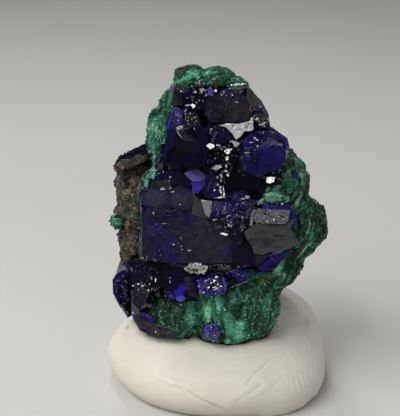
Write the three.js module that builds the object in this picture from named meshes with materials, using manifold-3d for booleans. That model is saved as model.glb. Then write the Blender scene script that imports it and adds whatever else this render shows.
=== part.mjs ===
// Azurite and malachite thumbnail specimen standing in a pressed ball of white mounting putty.
//
// The stone is a brown iron-oxide matrix. Dark blue azurite crystals with flat faces cover its
// front, and green malachite crusts grow over its top, its flanks and its foot. The putty is a
// flattened ball with a flat underside and a dent pressed by the stone.
//
// Units are millimetres. +Z is up, the show side faces -Y, and the origin is on the surface the
// putty stands on, under the middle of the object.
import * as THREE from "three";
import { ConvexGeometry } from "three/addons/geometries/ConvexGeometry.js";
import { mergeVertices } from "three/addons/utils/BufferGeometryUtils.js";
import Module from "manifold-3d";

// Driving dimensions
const PUTTY_WIDTH = 18.6; // across the putty, left to right
const PUTTY_DEPTH = 17.6; // across the putty, front to back
const STONE_CENTRE = [0, 1.0, 12.6]; // the middle of the matrix rock
const GAP = 0.16; // clearance left between touching pieces
const ROOT_DEPTH = 3.4; // how far a crystal reaches back behind its visible faces
const ROOT_TAPER = 0.72; // how far it narrows on the way

const COLOURS = {
  azurite: { color: 0x0b0d3a, roughness: 0.12, metalness: 0 },
  malachite: { color: 0x1c6b45, roughness: 0.7, metalness: 0 },
  matrix: { color: 0x4d3b28, roughness: 0.95, metalness: 0 },
  putty: { color: 0xd9d5cc, roughness: 0.6, metalness: 0 },
};

const wasm = await Module();
wasm.setup();

// Solids

function solidOf(geometry) {
  const bare = geometry.clone();
  bare.deleteAttribute("normal");
  bare.deleteAttribute("uv");
  const merged = mergeVertices(bare, 1e-4);
  return new wasm.Manifold(
    new wasm.Mesh({
      numProp: 3,
      vertProperties: new Float32Array(merged.attributes.position.array),
      triVerts: new Uint32Array(merged.index.array),
    }),
  );
}

function union(solids) {
  return solids.reduce((whole, next) => whole.add(next));
}

function cutBy(solid, cutters) {
  return cutters.reduce((left, cutter) => left.subtract(cutter), solid);
}

// The largest body of a solid, because a crust that is cut by its neighbours can shed crumbs.
function largestBody(solid) {
  const bodies = solid.decompose();
  return bodies.reduce((best, next) => (next.volume() > best.volume() ? next : best));
}

function meshOf(name, solid, look) {
  const { vertProperties, triVerts } = largestBody(solid).getMesh();
  const geometry = new THREE.BufferGeometry();
  geometry.setAttribute("position", new THREE.BufferAttribute(vertProperties, 3));
  geometry.setIndex(new THREE.BufferAttribute(triVerts, 1));
  geometry.computeVertexNormals();
  const mesh = new THREE.Mesh(geometry, new THREE.MeshStandardMaterial(look));
  mesh.name = name;
  return mesh;
}

// Smooth value noise from -1 to 1, the same on every run.

function hash(x, y, z) {
  const s = Math.sin(x * 127.1 + y * 311.7 + z * 74.7) * 43758.5453;
  return s - Math.floor(s);
}

function noise(x, y, z) {
  const [ix, iy, iz] = [Math.floor(x), Math.floor(y), Math.floor(z)];
  const ease = (t) => t * t * (3 - 2 * t);
  const [fx, fy, fz] = [ease(x - ix), ease(y - iy), ease(z - iz)];
  const mix = (a, b, t) => a + (b - a) * t;
  const row = (dy, dz) => mix(hash(ix, iy + dy, iz + dz), hash(ix + 1, iy + dy, iz + dz), fx);
  const slab = (dz) => mix(row(0, dz), row(1, dz), fy);
  return 2 * mix(slab(0), slab(1), fz) - 1;
}

// Lumpy bodies

// How far a ray from the origin along a unit direction runs before it leaves an ellipsoid.
function reachThrough(direction, offset, radii) {
  const d = direction.clone().divide(radii);
  const o = offset.clone().divide(radii);
  const along = d.dot(o);
  const under = along * along - d.lengthSq() * (o.lengthSq() - 1);
  return under > 0 ? (along + Math.sqrt(under)) / d.lengthSq() : 0;
}

// One body made of ellipsoid lobes seen from its own middle, roughened by bumps.
// A lobe is [x, y, z, radius x, radius y, radius z], and a bump is [size, height].
function lumpyBody({ middle, lobes, bumps, detail, seed = 0 }, grow = 0) {
  const centre = new THREE.Vector3(...middle);
  const geometry = new THREE.IcosahedronGeometry(1, detail);
  const position = geometry.getAttribute("position");
  const direction = new THREE.Vector3();
  for (let i = 0; i < position.count; i++) {
    direction.fromBufferAttribute(position, i).normalize();
    const reaches = lobes.map(([x, y, z, rx, ry, rz]) =>
      reachThrough(
        direction,
        new THREE.Vector3(x, y, z).sub(centre),
        new THREE.Vector3(rx, ry, rz),
      ),
    );
    let reach = Math.max(...reaches);
    for (const [size, height] of bumps) {
      const p = direction.clone().multiplyScalar(reach).add(centre).divideScalar(size);
      reach += height * noise(p.x + seed, p.y, p.z);
    }
    direction.multiplyScalar(reach + grow).add(centre);
    position.setXYZ(i, direction.x, direction.y, direction.z);
  }
  return solidOf(geometry);
}

// Crystals

// The corners of a flat face. Its outline is a list of [x, z], and its plane is given by the depth
// of its middle and by how far it leans back for each millimetre to the right and up.
function flatFace({ outline, depth, right = 0, up = 0 }) {
  const mean = (axis) => outline.reduce((sum, corner) => sum + corner[axis], 0) / outline.length;
  const [middleX, middleZ] = [mean(0), mean(1)];
  return outline.map(
    ([x, z]) => new THREE.Vector3(x, depth + right * (x - middleX) + up * (z - middleZ), z),
  );
}

// The same face spread about a point of it and moved back, so that the facets between are flat.
function girdle(face, { spread, back, from = [0.5, 0.5] }) {
  const { min, max } = new THREE.Box3().setFromPoints(face);
  const middle = face
    .reduce((sum, corner) => sum.add(corner), new THREE.Vector3())
    .divideScalar(face.length);
  middle.x += (from[0] - 0.5) * (max.x - min.x);
  middle.z += (from[1] - 0.5) * (max.z - min.z);
  return face.map((corner) => {
    const wider = corner.clone().sub(middle).multiplyScalar(spread).add(middle);
    return wider.add(new THREE.Vector3(0, back, 0));
  });
}

// A crystal is the convex body of its flat faces, of its other visible corners and of a narrower
// root behind them.
function crystal(
  { faces = [], bevel, corners = [], root = ROOT_DEPTH, taper = ROOT_TAPER },
  grow = 0,
) {
  const flat = faces.map(flatFace);
  const front = [
    ...flat.flat(),
    ...(bevel ? girdle(flat[0], bevel) : []),
    ...corners.map((corner) => new THREE.Vector3(...corner)),
  ];
  const middle = front
    .reduce((sum, corner) => sum.add(corner), new THREE.Vector3())
    .divideScalar(front.length);
  const back = front.map((corner) =>
    corner.clone().sub(middle).multiplyScalar(taper).add(middle).setY(middle.y + root),
  );
  const points = [...front, ...back];
  const box = new THREE.Box3().setFromPoints(points);
  const size = box.getSize(new THREE.Vector3());
  const centre = box.getCenter(new THREE.Vector3());
  const scale = size.clone().addScalar(2 * grow).divide(size);
  return solidOf(
    new ConvexGeometry(points.map((p) => p.clone().sub(centre).multiply(scale).add(centre))),
  );
}

// Small stubby crystals scattered through a box-shaped patch and grown into what is there.
function grains({ middle, spread, sizes, count, seed }, grow = 0) {
  const stubs = [];
  for (let i = 0; i < count; i++) {
    const pick = (k) => hash(seed, i, k);
    const stub = new THREE.OctahedronGeometry(1);
    const size = sizes[0] + (sizes[1] - sizes[0]) * pick(1) + grow;
    stub.scale(size, size * 0.7, size * 1.2);
    stub.rotateX(pick(2) * Math.PI);
    stub.rotateY(pick(3) * Math.PI);
    stub.rotateZ(pick(4) * Math.PI);
    stub.translate(...middle.map((at, axis) => at + spread[axis] * (2 * pick(5 + axis) - 1)));
    stubs.push(solidOf(stub));
  }
  return union(stubs);
}

// The azurite crystals that have grown into one another, from the top of the stone to its foot.
const AZURITE_CRYSTALS = {
  heart: {
    corners: [
      [-5.2, -2.2, 18.2], [-3.9, -1.8, 21.7], [-3.0, -1.0, 25.0], [2.1, -1.2, 24.7],
      [3.7, -1.6, 22.0], [4.8, -2.2, 18.5], [5.6, -2.4, 12.9], [3.9, -2.6, 10.3],
      [-1.4, -2.8, 8.0], [-5.2, -2.8, 8.0], [-6.6, -2.6, 9.3],
    ],
  },
  crown_block: {
    faces: [
      {
        outline: [
          [-0.9, 24.7], [1.5, 24.8], [2.1, 24.1], [2.5, 23.2], [2.6, 22.6], [0.3, 22.4],
          [-1.0, 23.3],
        ],
        depth: -2.9, right: 0.08, up: 0.42,
      },
    ],
    corners: [
      [-0.9, -1.5, 25.0], [2.2, -1.0, 25.0], [3.2, -1.2, 23.9], [3.8, -1.2, 22.8],
      [4.0, -1.2, 21.7], [2.9, -2.6, 21.9], [-0.2, -2.9, 21.8], [-1.4, -2.1, 23.2],
    ],
    root: 3.6,
    taper: 0.55,
  },
  crown_grain: {
    faces: [
      {
        outline: [[-2.4, 24.7], [-1.1, 24.9], [-0.6, 24.2], [-1.1, 23.4], [-2.3, 23.5]],
        depth: -2.5, up: 0.25,
      },
    ],
    bevel: { spread: 1.15, back: 0.7 },
    root: 2.6,
  },
  left_cap: {
    faces: [
      {
        outline: [[-3.4, 24.8], [-2.6, 24.7], [-2.5, 23.9], [-3.6, 23.7]],
        depth: -2.4, right: -0.3, up: 0.3,
      },
    ],
    bevel: { spread: 1.3, back: 0.8, from: [0.8, 0.5] },
    root: 2.6,
  },
  upper_left_block: {
    faces: [
      {
        outline: [[-3.2, 22.3], [-2.7, 22.7], [-1.8, 22.6], [-1.4, 21.6], [-2.5, 21.7]],
        depth: -3.9, right: -0.1, up: 0.55,
      },
      {
        outline: [[-2.6, 21.5], [-1.5, 21.4], [-1.4, 19.8], [-2.3, 19.6]],
        depth: -4.3, right: -0.05, up: 0.02,
      },
    ],
    corners: [
      [-3.5, -2.2, 23.2], [-2.4, -2.7, 23.6], [-1.4, -3.2, 23.0], [-0.7, -3.4, 21.8],
      [-0.7, -3.2, 19.7], [-1.4, -3.1, 19.0], [-3.5, -2.8, 18.9], [-4.1, -1.9, 20.1],
      [-4.0, -1.5, 21.7],
    ],
  },
  central_prism: {
    faces: [
      {
        outline: [[-0.6, 22.4], [0.8, 22.5], [1.2, 21.7], [0.4, 20.8], [-0.6, 21.4]],
        depth: -4.0, right: 0.1, up: 0.25,
      },
    ],
    bevel: { spread: 1.2, back: 0.8 },
    root: 2.8,
  },
  hollow_floor: {
    faces: [
      {
        outline: [[-0.8, 21.1], [1.3, 21.1], [1.2, 19.3], [0.3, 17.9], [-0.8, 19.2]],
        depth: -3.1, right: 0.1, up: 0.1,
      },
    ],
    root: 2.0,
  },
  bright_ledge: {
    faces: [
      {
        outline: [
          [0.1, 22.4], [1.9, 22.5], [2.5, 22.7], [2.6, 22.3], [1.9, 22.1], [1.3, 21.7],
          [0.9, 22.1],
        ],
        depth: -3.3, up: 2.2,
      },
    ],
    corners: [[1.3, -4.0, 20.6]],
    root: 1.6,
  },
  blue_shoulder: {
    faces: [
      {
        outline: [
          [1.5, 21.0], [3.2, 21.0], [4.5, 21.0], [5.1, 20.4], [5.1, 19.7], [4.6, 19.1],
          [3.3, 18.9], [1.5, 19.5],
        ],
        depth: -4.0, right: 0.35, up: 0.12,
      },
    ],
    corners: [
      [1.5, -3.6, 21.6], [2.2, -2.6, 22.0], [3.1, -1.6, 22.1], [4.2, -1.0, 21.7],
      [5.2, -0.6, 20.8], [5.5, -0.8, 19.9], [5.4, -1.2, 19.1], [3.4, -2.6, 18.6],
    ],
    taper: 0.6,
  },
  violet_tooth: {
    faces: [
      {
        outline: [
          [-2.6, 18.9], [-1.5, 19.1], [-0.9, 18.7], [-0.9, 18.2], [-1.5, 17.6], [-2.0, 18.2],
        ],
        depth: -4.1, right: 0.1, up: 0.7,
      },
    ],
    bevel: { spread: 1.15, back: 0.5 },
    root: 2.4,
  },
  blue_rib: {
    faces: [
      {
        outline: [[-0.9, 18.4], [-0.3, 18.8], [0.4, 17.8], [0.6, 16.9], [-1.1, 17.1]],
        depth: -3.9, right: 0.2, up: 0.4,
      },
    ],
    bevel: { spread: 1.15, back: 0.6 },
    root: 2.4,
  },
  great_plate: {
    faces: [
      {
        outline: [
          [-5.8, 16.6], [-2.1, 16.0], [0.7, 14.6], [2.9, 13.2], [2.9, 12.3], [-0.2, 12.3],
          [-2.6, 12.1], [-4.4, 12.5], [-5.8, 12.9], [-5.9, 14.3],
        ],
        depth: -5.2, right: -0.06, up: 0.2,
      },
    ],
    corners: [
      [-5.1, -2.6, 18.4], [-3.8, -2.8, 18.8], [-2.6, -3.0, 18.8], [-1.7, -3.9, 17.7],
      [-5.7, -3.4, 17.3], [-0.5, -4.5, 16.4], [1.1, -4.7, 15.0], [3.2, -4.4, 13.3],
      [3.3, -4.2, 11.8], [-0.2, -4.8, 11.4], [-4.6, -4.4, 11.7], [-6.1, -3.6, 12.6],
    ],
  },
  step_block: {
    faces: [
      {
        outline: [
          [0.1, 17.0], [2.8, 17.0], [3.0, 16.1], [2.4, 15.0], [1.5, 14.3], [0.6, 14.8],
          [-0.4, 16.5],
        ],
        depth: -5.0, right: 0.15, up: 0.2,
      },
    ],
    corners: [
      [-1.3, -4.4, 17.0], [-0.9, -5.0, 15.8], [3.4, -3.6, 16.8], [3.4, -3.9, 15.8],
      [3.1, -2.4, 17.0], [-1.3, -3.0, 17.1],
    ],
  },
  slate_block: {
    faces: [
      {
        outline: [
          [2.1, 14.6], [2.8, 15.2], [3.4, 15.3], [5.5, 15.0], [5.7, 13.5], [5.2, 13.0],
          [2.8, 12.8], [2.5, 13.6],
        ],
        depth: -4.9, right: 0.25, up: -0.05,
      },
    ],
    corners: [
      [2.5, -3.8, 15.8], [2.9, -3.4, 16.2], [5.7, -2.4, 15.8], [6.4, -2.4, 14.0],
      [3.4, -4.2, 11.7],
    ],
  },
  blue_blade: {
    faces: [
      {
        outline: [[2.9, 11.9], [5.4, 12.8], [5.7, 12.5], [3.4, 11.4]],
        depth: -4.4, right: 0.3, up: 0.7,
      },
    ],
    bevel: { spread: 1.1, back: 0.6 },
    root: 2.0,
  },
  foot_black: {
    faces: [
      {
        outline: [
          [-6.8, 11.2], [-5.4, 11.7], [-4.2, 11.8], [-4.0, 10.5], [-5.1, 9.6], [-6.6, 9.6],
        ],
        depth: -4.5, right: -0.35, up: 0.3,
      },
    ],
    bevel: { spread: 1.12, back: 0.7 },
  },
  foot_middle: {
    faces: [
      {
        outline: [[-4.0, 11.1], [-1.5, 11.3], [-1.4, 10.3], [-1.5, 8.9], [-3.9, 9.1]],
        depth: -4.9, up: 0.15,
      },
    ],
    bevel: { spread: 1.1, back: 0.6 },
  },
  foot_shelf: {
    faces: [
      {
        outline: [[-1.7, 11.2], [3.0, 11.2], [3.4, 10.8], [1.4, 10.4], [-0.9, 10.0]],
        depth: -4.5, up: 1.2,
      },
    ],
    corners: [[3.8, -3.4, 11.4], [4.2, -3.2, 10.4], [-0.6, -4.6, 9.2]],
  },
  foot_left_outer: {
    faces: [
      {
        outline: [
          [-8.4, 8.6], [-8.0, 9.7], [-7.1, 10.3], [-7.2, 6.0], [-7.6, 6.6], [-8.2, 7.3],
        ],
        depth: -1.6, right: -0.8,
      },
    ],
    corners: [[-6.2, -0.6, 9.6], [-6.2, -0.6, 6.2]],
    taper: 0.9,
  },
  foot_left_inner: {
    faces: [
      {
        outline: [[-6.8, 8.7], [-5.2, 8.6], [-4.8, 5.8], [-6.0, 5.8], [-6.8, 6.6]],
        depth: -3.3, right: -0.6, up: 0.15,
      },
    ],
    corners: [[-4.6, -3.8, 5.2], [-6.1, -2.2, 4.9]],
  },
  foot_keel: {
    faces: [
      {
        outline: [
          [-6.6, 6.4], [-5.2, 6.5], [-2.2, 5.3], [-2.5, 4.5], [-4.8, 4.3], [-6.0, 5.3],
        ],
        depth: -3.3, right: -0.3, up: -0.4,
      },
    ],
  },
};

// The patches of small crystals between the large ones.
const AZURITE_GRAINS = [
  { middle: [0.2, -3.3, 19.9], spread: [0.9, 0.15, 1.3], sizes: [0.24, 0.44], count: 12, seed: 3 },
  { middle: [-1.6, -2.5, 24.6], spread: [0.9, 0.25, 0.4], sizes: [0.24, 0.4], count: 6, seed: 6 },
  { middle: [-0.3, -4.9, 11.1], spread: [2.2, 0.3, 0.35], sizes: [0.26, 0.42], count: 6, seed: 8 },
  { middle: [-5.0, -4.7, 9.9], spread: [1.0, 0.3, 0.6], sizes: [0.24, 0.4], count: 5, seed: 9 },
  { middle: [4.2, -3.6, 15.9], spread: [1.3, 0.4, 0.3], sizes: [0.24, 0.36], count: 5, seed: 13 },
];

// A thin azurite rind along the slanting upper edge of the brown flank.
const AZURITE_RIND = {
  corners: [
    [-7.9, -1.0, 18.9], [-6.8, -1.3, 19.5], [-5.2, -0.9, 20.3], [-8.0, -1.4, 18.3],
    [-6.6, -1.9, 18.8], [-5.0, -1.7, 19.7], [-8.2, -0.3, 18.1],
  ],
  root: 1.8,
  taper: 0.92,
};

// Small rounded azurite rosettes among the malachite at the foot.
const AZURITE_BALL = {
  middle: [-0.4, -5.1, 6.4],
  lobes: [[-0.4, -5.1, 6.4, 0.66, 0.62, 0.72]],
  bumps: [[0.35, 0.07]],
  detail: 1,
  seed: 3,
};
const AZURITE_ROSETTE = {
  middle: [-0.4, -5.2, 10.4],
  lobes: [[-0.4, -5.2, 10.4, 1.08, 0.6, 0.82]],
  bumps: [[0.4, 0.12]],
  detail: 2,
  seed: 5,
};

// A few azurite crystals on the back of the stone.
const AZURITE_BACK = {
  back_block: {
    corners: [
      [2.6, 4.2, 16.6], [4.6, 3.4, 16.2], [4.8, 3.6, 13.6], [3.2, 5.2, 12.8],
      [2.0, 5.6, 14.4], [3.2, 5.8, 15.6],
    ],
    root: -2.6,
  },
  back_wedge: {
    corners: [
      [1.0, 5.0, 14.8], [2.6, 5.2, 14.6], [2.8, 5.4, 12.2], [1.2, 6.0, 12.4],
      [1.4, 6.3, 13.6],
    ],
    root: -2.6,
  },
  back_chip: {
    corners: [
      [3.0, 4.0, 18.4], [4.2, 3.2, 17.8], [4.0, 3.8, 16.0], [2.8, 4.8, 16.2],
    ],
    root: -2.2,
  },
};

// The brown matrix: a tall rock with a slabby left flank.
const MATRIX = {
  middle: STONE_CENTRE,
  lobes: [
    [0.2, 0.9, 12.0, 6.0, 4.9, 8.4],
    [-0.4, 0.8, 19.6, 3.6, 2.9, 5.0],
    [-3.0, 0.8, 19.2, 2.5, 2.5, 4.0],
    [-6.0, 0.7, 16.5, 2.4, 2.5, 2.4],
    [-6.0, 0.8, 14.6, 2.3, 2.9, 3.2],
    [-5.5, 0.9, 12.0, 2.5, 3.0, 3.2],
    [-3.4, 0.8, 7.6, 4.1, 4.2, 4.4],
    [2.0, 0.6, 8.2, 3.4, 4.2, 4.6],
  ],
  bumps: [[3.2, 0.45], [1.4, 0.36], [0.8, 0.16]],
  detail: 7,
};

// Malachite crusts. Each is a lumpy body, and what shows is what stands proud of the stone.
const MALACHITE = {
  malachite_crown: {
    middle: [-0.6, 0.4, 24.6],
    lobes: [
      [-2.1, 0.0, 25.2, 1.2, 1.8, 1.15],
      [-0.1, 0.0, 25.1, 1.4, 1.9, 1.05],
      [1.2, 0.1, 24.6, 1.3, 1.7, 0.85],
    ],
    bumps: [[0.9, 0.2], [0.45, 0.14]],
    detail: 5,
    seed: 11,
  },
  malachite_left_band: {
    middle: [-4.3, 0.0, 21.8],
    lobes: [
      [-4.2, -0.1, 21.1, 1.2, 2.0, 1.9],
      [-3.6, 0.1, 23.2, 0.8, 1.6, 1.1],
      [-4.7, -0.6, 20.0, 0.7, 1.4, 1.3],
    ],
    bumps: [[0.8, 0.14], [0.4, 0.1]],
    detail: 4,
    seed: 17,
  },
  malachite_shoulder: {
    middle: [5.0, 0.6, 13.4],
    lobes: [
      [4.9, 0.4, 17.0, 2.4, 3.0, 2.5],
      [6.2, 0.4, 13.3, 2.6, 3.4, 2.6],
      [4.6, 0.1, 10.5, 2.3, 3.8, 2.7],
      [4.3, -2.3, 16.6, 1.0, 1.6, 0.8],
    ],
    bumps: [[1.2, 0.32], [0.6, 0.18]],
    detail: 5,
    seed: 23,
  },
  malachite_foot: {
    middle: [-0.2, -2.4, 7.0],
    lobes: [
      [-3.2, -2.9, 7.1, 2.4, 2.3, 2.2],
      [0.0, -3.0, 7.2, 1.9, 2.4, 2.8],
      [2.9, -2.2, 7.6, 2.1, 2.5, 3.2],
      [1.3, -2.8, 9.0, 1.4, 2.1, 1.6],
      [3.6, -1.8, 9.2, 1.4, 2.2, 1.7],
      [1.0, -2.6, 5.9, 2.2, 2.2, 1.6],
    ],
    bumps: [[1.1, 0.22], [0.5, 0.16]],
    detail: 6,
    seed: 29,
  },
  malachite_seam: {
    middle: [-5.8, -2.4, 16.2],
    lobes: [
      [-5.2, -2.0, 18.4, 0.45, 0.8, 1.1],
      [-5.7, -2.4, 16.9, 0.45, 0.8, 1.3],
      [-6.1, -2.7, 15.0, 0.45, 0.8, 1.4],
      [-6.2, -2.9, 13.2, 0.4, 0.7, 1.2],
    ],
    bumps: [[0.5, 0.1]],
    detail: 2,
    seed: 43,
  },
  malachite_tuft: {
    middle: [-8.0, -0.6, 13.8],
    lobes: [[-8.0, -0.6, 13.8, 0.7, 0.7, 0.6]],
    bumps: [[0.4, 0.12]],
    detail: 1,
    seed: 31,
  },
  malachite_back: {
    middle: [-1.6, 4.3, 14.0],
    lobes: [
      [-1.6, 3.6, 17.2, 2.2, 2.2, 3.0],
      [-2.2, 4.3, 12.8, 2.8, 2.1, 3.2],
      [0.2, 4.7, 10.4, 2.8, 1.7, 1.8],
      [-3.6, 3.7, 15.0, 2.0, 2.0, 2.2],
    ],
    bumps: [[1.3, 0.34], [0.6, 0.16]],
    detail: 4,
    seed: 37,
  },
};

// The putty: a flattened ball, thicker behind the stone on the right, with a flat underside.
const PUTTY = {
  middle: [0.1, 0.2, 2.0],
  lobes: [
    [0.0, 0.0, 1.9, 9.3, 8.7, 3.5],
    [3.1, 2.6, 2.8, 5.8, 5.6, 3.8],
    [3.2, -1.6, 1.5, 6.0, 6.4, 3.1],
    [-2.4, -0.6, 2.2, 6.4, 6.4, 3.5],
  ],
  bumps: [[4.5, 0.16]],
  detail: 6,
  seed: 41,
};

// A slab far larger than the object, whose top is the surface the putty stands on.
function standingSurface() {
  const slab = new THREE.BoxGeometry(60, 60, 20);
  slab.translate(0, 0, -10);
  return solidOf(slab);
}

// The putty, scaled so that it is exactly as wide and as deep as stated, about the origin.
function puttyBall() {
  const raw = lumpyBody(PUTTY).subtract(standingSurface());
  const { min, max } = raw.boundingBox();
  const [sx, sy] = [PUTTY_WIDTH / (max[0] - min[0]), PUTTY_DEPTH / (max[1] - min[1])];
  return raw
    .translate([-(min[0] + max[0]) / 2, -(min[1] + max[1]) / 2, 0])
    .scale([sx, sy, 1]);
}

// Assembly: crystals stay whole, and each softer piece is cut clear of what it grows on.

const azurite = union([
  ...Object.values(AZURITE_CRYSTALS).map((c) => crystal(c)),
  ...AZURITE_GRAINS.map((g) => grains(g)),
]);
const azuriteBack = union(Object.values(AZURITE_BACK).map((c) => crystal(c)));
const crystalRoom = [
  union(Object.values(AZURITE_CRYSTALS).map((c) => crystal(c, GAP))),
  union(AZURITE_GRAINS.map((g) => grains(g, GAP))),
  union(Object.values(AZURITE_BACK).map((c) => crystal(c, GAP))),
  crystal(AZURITE_RIND, GAP),
];

const matrix = cutBy(lumpyBody(MATRIX), crystalRoom);
const stoneRoom = [...crystalRoom, lumpyBody(MATRIX, GAP)];

const rosettes = {
  azurite_ball: AZURITE_BALL,
  azurite_rosette: AZURITE_ROSETTE,
};

const stonePieces = [
  meshOf("azurite_crystals", azurite, COLOURS.azurite),
  meshOf("azurite_back_crystals", azuriteBack, COLOURS.azurite),
  meshOf("azurite_rind", crystal(AZURITE_RIND), COLOURS.azurite),
  meshOf("iron_matrix", matrix, COLOURS.matrix),
];
for (const [name, shape] of Object.entries(rosettes)) {
  stonePieces.push(meshOf(name, cutBy(lumpyBody(shape), stoneRoom), COLOURS.azurite));
}

// Each crust gives way to the rosettes and to the crusts before it in the list.
const taken = [...stoneRoom, ...Object.values(rosettes).map((r) => lumpyBody(r, GAP))];
for (const [name, shape] of Object.entries(MALACHITE)) {
  stonePieces.push(meshOf(name, cutBy(lumpyBody(shape), taken), COLOURS.malachite));
  taken.push(lumpyBody(shape, GAP));
}

const putty = cutBy(puttyBall(), taken);

const specimen = new THREE.Group();
specimen.name = "azurite_and_malachite_specimen";
specimen.add(meshOf("putty_mount", putty, COLOURS.putty), ...stonePieces);

export default specimen;
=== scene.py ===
# Azurite and malachite thumbnail specimen in its pressed ball of white mounting putty.
#
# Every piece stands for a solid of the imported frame, and is made finer here: the azurite gets
# growth steps and small crystals, the malachite its fibres and grains, the matrix its pits, and the
# putty its creases. Shapes are worked out in millimetres and turned into metres at the end.
import itertools
import math

import bmesh
import bpy
import numpy as np
from mathutils import Matrix, Vector
from mathutils.bvhtree import BVHTree
from mathutils.geometry import tessellate_polygon


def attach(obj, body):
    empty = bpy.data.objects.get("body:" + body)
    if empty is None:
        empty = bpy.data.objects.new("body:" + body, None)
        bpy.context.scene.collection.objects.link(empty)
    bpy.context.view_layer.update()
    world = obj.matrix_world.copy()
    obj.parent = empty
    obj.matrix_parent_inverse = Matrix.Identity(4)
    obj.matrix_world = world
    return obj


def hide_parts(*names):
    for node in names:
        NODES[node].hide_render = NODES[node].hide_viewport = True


MM = 0.001
WELD = 0.001  # corners closer than this are one corner
FLAT_ANGLE = math.radians(1.2)  # faces that bend less than this are one crystal face

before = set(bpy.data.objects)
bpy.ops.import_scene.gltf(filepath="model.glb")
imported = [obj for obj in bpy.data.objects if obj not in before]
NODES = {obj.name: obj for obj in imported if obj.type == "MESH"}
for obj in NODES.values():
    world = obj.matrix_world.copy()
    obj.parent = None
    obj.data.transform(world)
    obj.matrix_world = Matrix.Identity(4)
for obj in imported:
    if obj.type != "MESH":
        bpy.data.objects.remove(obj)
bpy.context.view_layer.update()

# The view of the photograph
CAMERA_TARGET = np.array([-1.36, 0.0, 14.74])
CAMERA_DISTANCE = 80.0
CAMERA_ELEVATION = math.radians(20)
CAMERA_LENS = 86.54
SENSOR = 36.0

FRAME_WIDTH, FRAME_HEIGHT = 400, 416  # the photograph, in pixels
FOCAL_PIXELS = CAMERA_LENS / SENSOR * FRAME_HEIGHT

UP = np.array([0.0, 0.0, 1.0])
RIGHT = np.array([1.0, 0.0, 0.0])

# The light behind the stone, which its crystal faces mirror
LIGHT_MIDDLE = np.array([0.0, 0.0, 13.0])
KEY_FROM = (-162, 62)
KEY_DISTANCE = 210.0
# The small bright light in front, which its hollows glitter with
GLINT_FROM = (-30, 54)
# A small one on the right, for a face that an overhang hides from the first
SPOT_FROM = (34, 20)
# The soft light in front, which makes a face light gray
SOFT_FROM = (-30, 32)


def direction(azimuth, elevation):
    """Azimuth 0 points to the front, 90 to the right and 180 to the back."""
    a, e = math.radians(azimuth), math.radians(elevation)
    return np.array([math.sin(a) * math.cos(e), -math.cos(a) * math.cos(e), math.sin(e)])


VIEW_BACK = direction(0, math.degrees(CAMERA_ELEVATION))
VIEW_UP = np.cross(RIGHT, -VIEW_BACK)
EYE = CAMERA_TARGET + VIEW_BACK * CAMERA_DISTANCE


def sights(pixels):
    """The directions in which the camera sees places of the photograph."""
    aside = np.array(pixels, float) - (FRAME_WIDTH / 2, FRAME_HEIGHT / 2)
    across = aside[:, :1] * RIGHT - aside[:, 1:] * VIEW_UP
    return unit(across - VIEW_BACK * FOCAL_PIXELS)


# Numbers that repeat


def hashed(cells, seed):
    """A repeatable number from 0 to 1 for each whole-number cell."""
    whole = cells.astype(np.int64)
    mixed = (
        whole[..., 0] * 73856093
        ^ whole[..., 1] * 19349663
        ^ whole[..., 2] * 83492791
        ^ (seed + 1) * 2654435761
    )
    mixed &= 0xFFFFFFFF
    for _ in range(2):
        mixed = ((mixed ^ (mixed >> 16)) * 0x45D9F3B) & 0xFFFFFFFF
    return (mixed ^ (mixed >> 16)) / 0xFFFFFFFF


def noise3(points, size, seed=0):
    """Smooth noise from -1 to 1 whose bumps are about size apart."""
    scaled = points / size
    low = np.floor(scaled)
    part = scaled - low
    part = part * part * (3 - 2 * part)
    total = np.zeros(len(points))
    for corner in itertools.product((0, 1), repeat=3):
        share = np.prod(np.where(corner, part, 1 - part), axis=1)
        total += share * hashed(low + corner, seed)
    return total * 2 - 1


def rough3(points, size, seed=0, octaves=4):
    """Noise with ever finer and weaker bumps added to it, from about -1 to 1."""
    total = np.zeros(len(points))
    for octave in range(octaves):
        total += noise3(points, size / 2**octave, seed + octave) / 2**octave
    return total / 1.6


def cells3(points, size, seed=0):
    """Scattered seeds: the distance to the nearest and the next, and the nearest one's number."""
    scaled = points / size
    low = np.floor(scaled)
    nearest = np.full(len(points), 9.0)
    second = np.full(len(points), 9.0)
    label = np.zeros(len(points))
    for shift in itertools.product((-1, 0, 1), repeat=3):
        cell = low + shift
        centre = cell + np.stack([hashed(cell, seed + axis) for axis in range(3)], axis=1)
        gap = np.linalg.norm(scaled - centre, axis=1)
        closer = gap < nearest
        second = np.where(closer, nearest, np.minimum(second, gap))
        label = np.where(closer, hashed(cell, seed + 3), label)
        nearest = np.minimum(nearest, gap)
    return nearest, second, label


def unit(vectors):
    return vectors / (np.linalg.norm(vectors, axis=-1, keepdims=True) + 1e-12)


def smooth(amount):
    kept = np.clip(amount, 0, 1)
    return kept * kept * (3 - 2 * kept)


def patchy(points, patches, fray=0.35, seed=40):
    """How strongly the named patches colour each point. A patch is (centre, radius, strength)."""
    frayed = fray * rough3(points, 1.1, seed, 3)
    total = np.zeros(len(points))
    for centre, radius, strength in patches:
        gap = np.linalg.norm(points - np.array(centre), axis=1) / radius
        total = np.maximum(total, strength * smooth(1.6 * (1 - gap + frayed)))
    return total


# Shapes as lists of corners and triangles


def solid(node):
    """The node's solid in millimetres, with its flat faces whole again."""
    body = bmesh.new()
    body.from_mesh(NODES[node].data)
    body.transform(Matrix.Scale(1 / MM, 4))
    bmesh.ops.remove_doubles(body, verts=body.verts, dist=WELD)
    bmesh.ops.dissolve_limit(
        body, angle_limit=FLAT_ANGLE, verts=body.verts, edges=body.edges
    )
    return body


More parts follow.
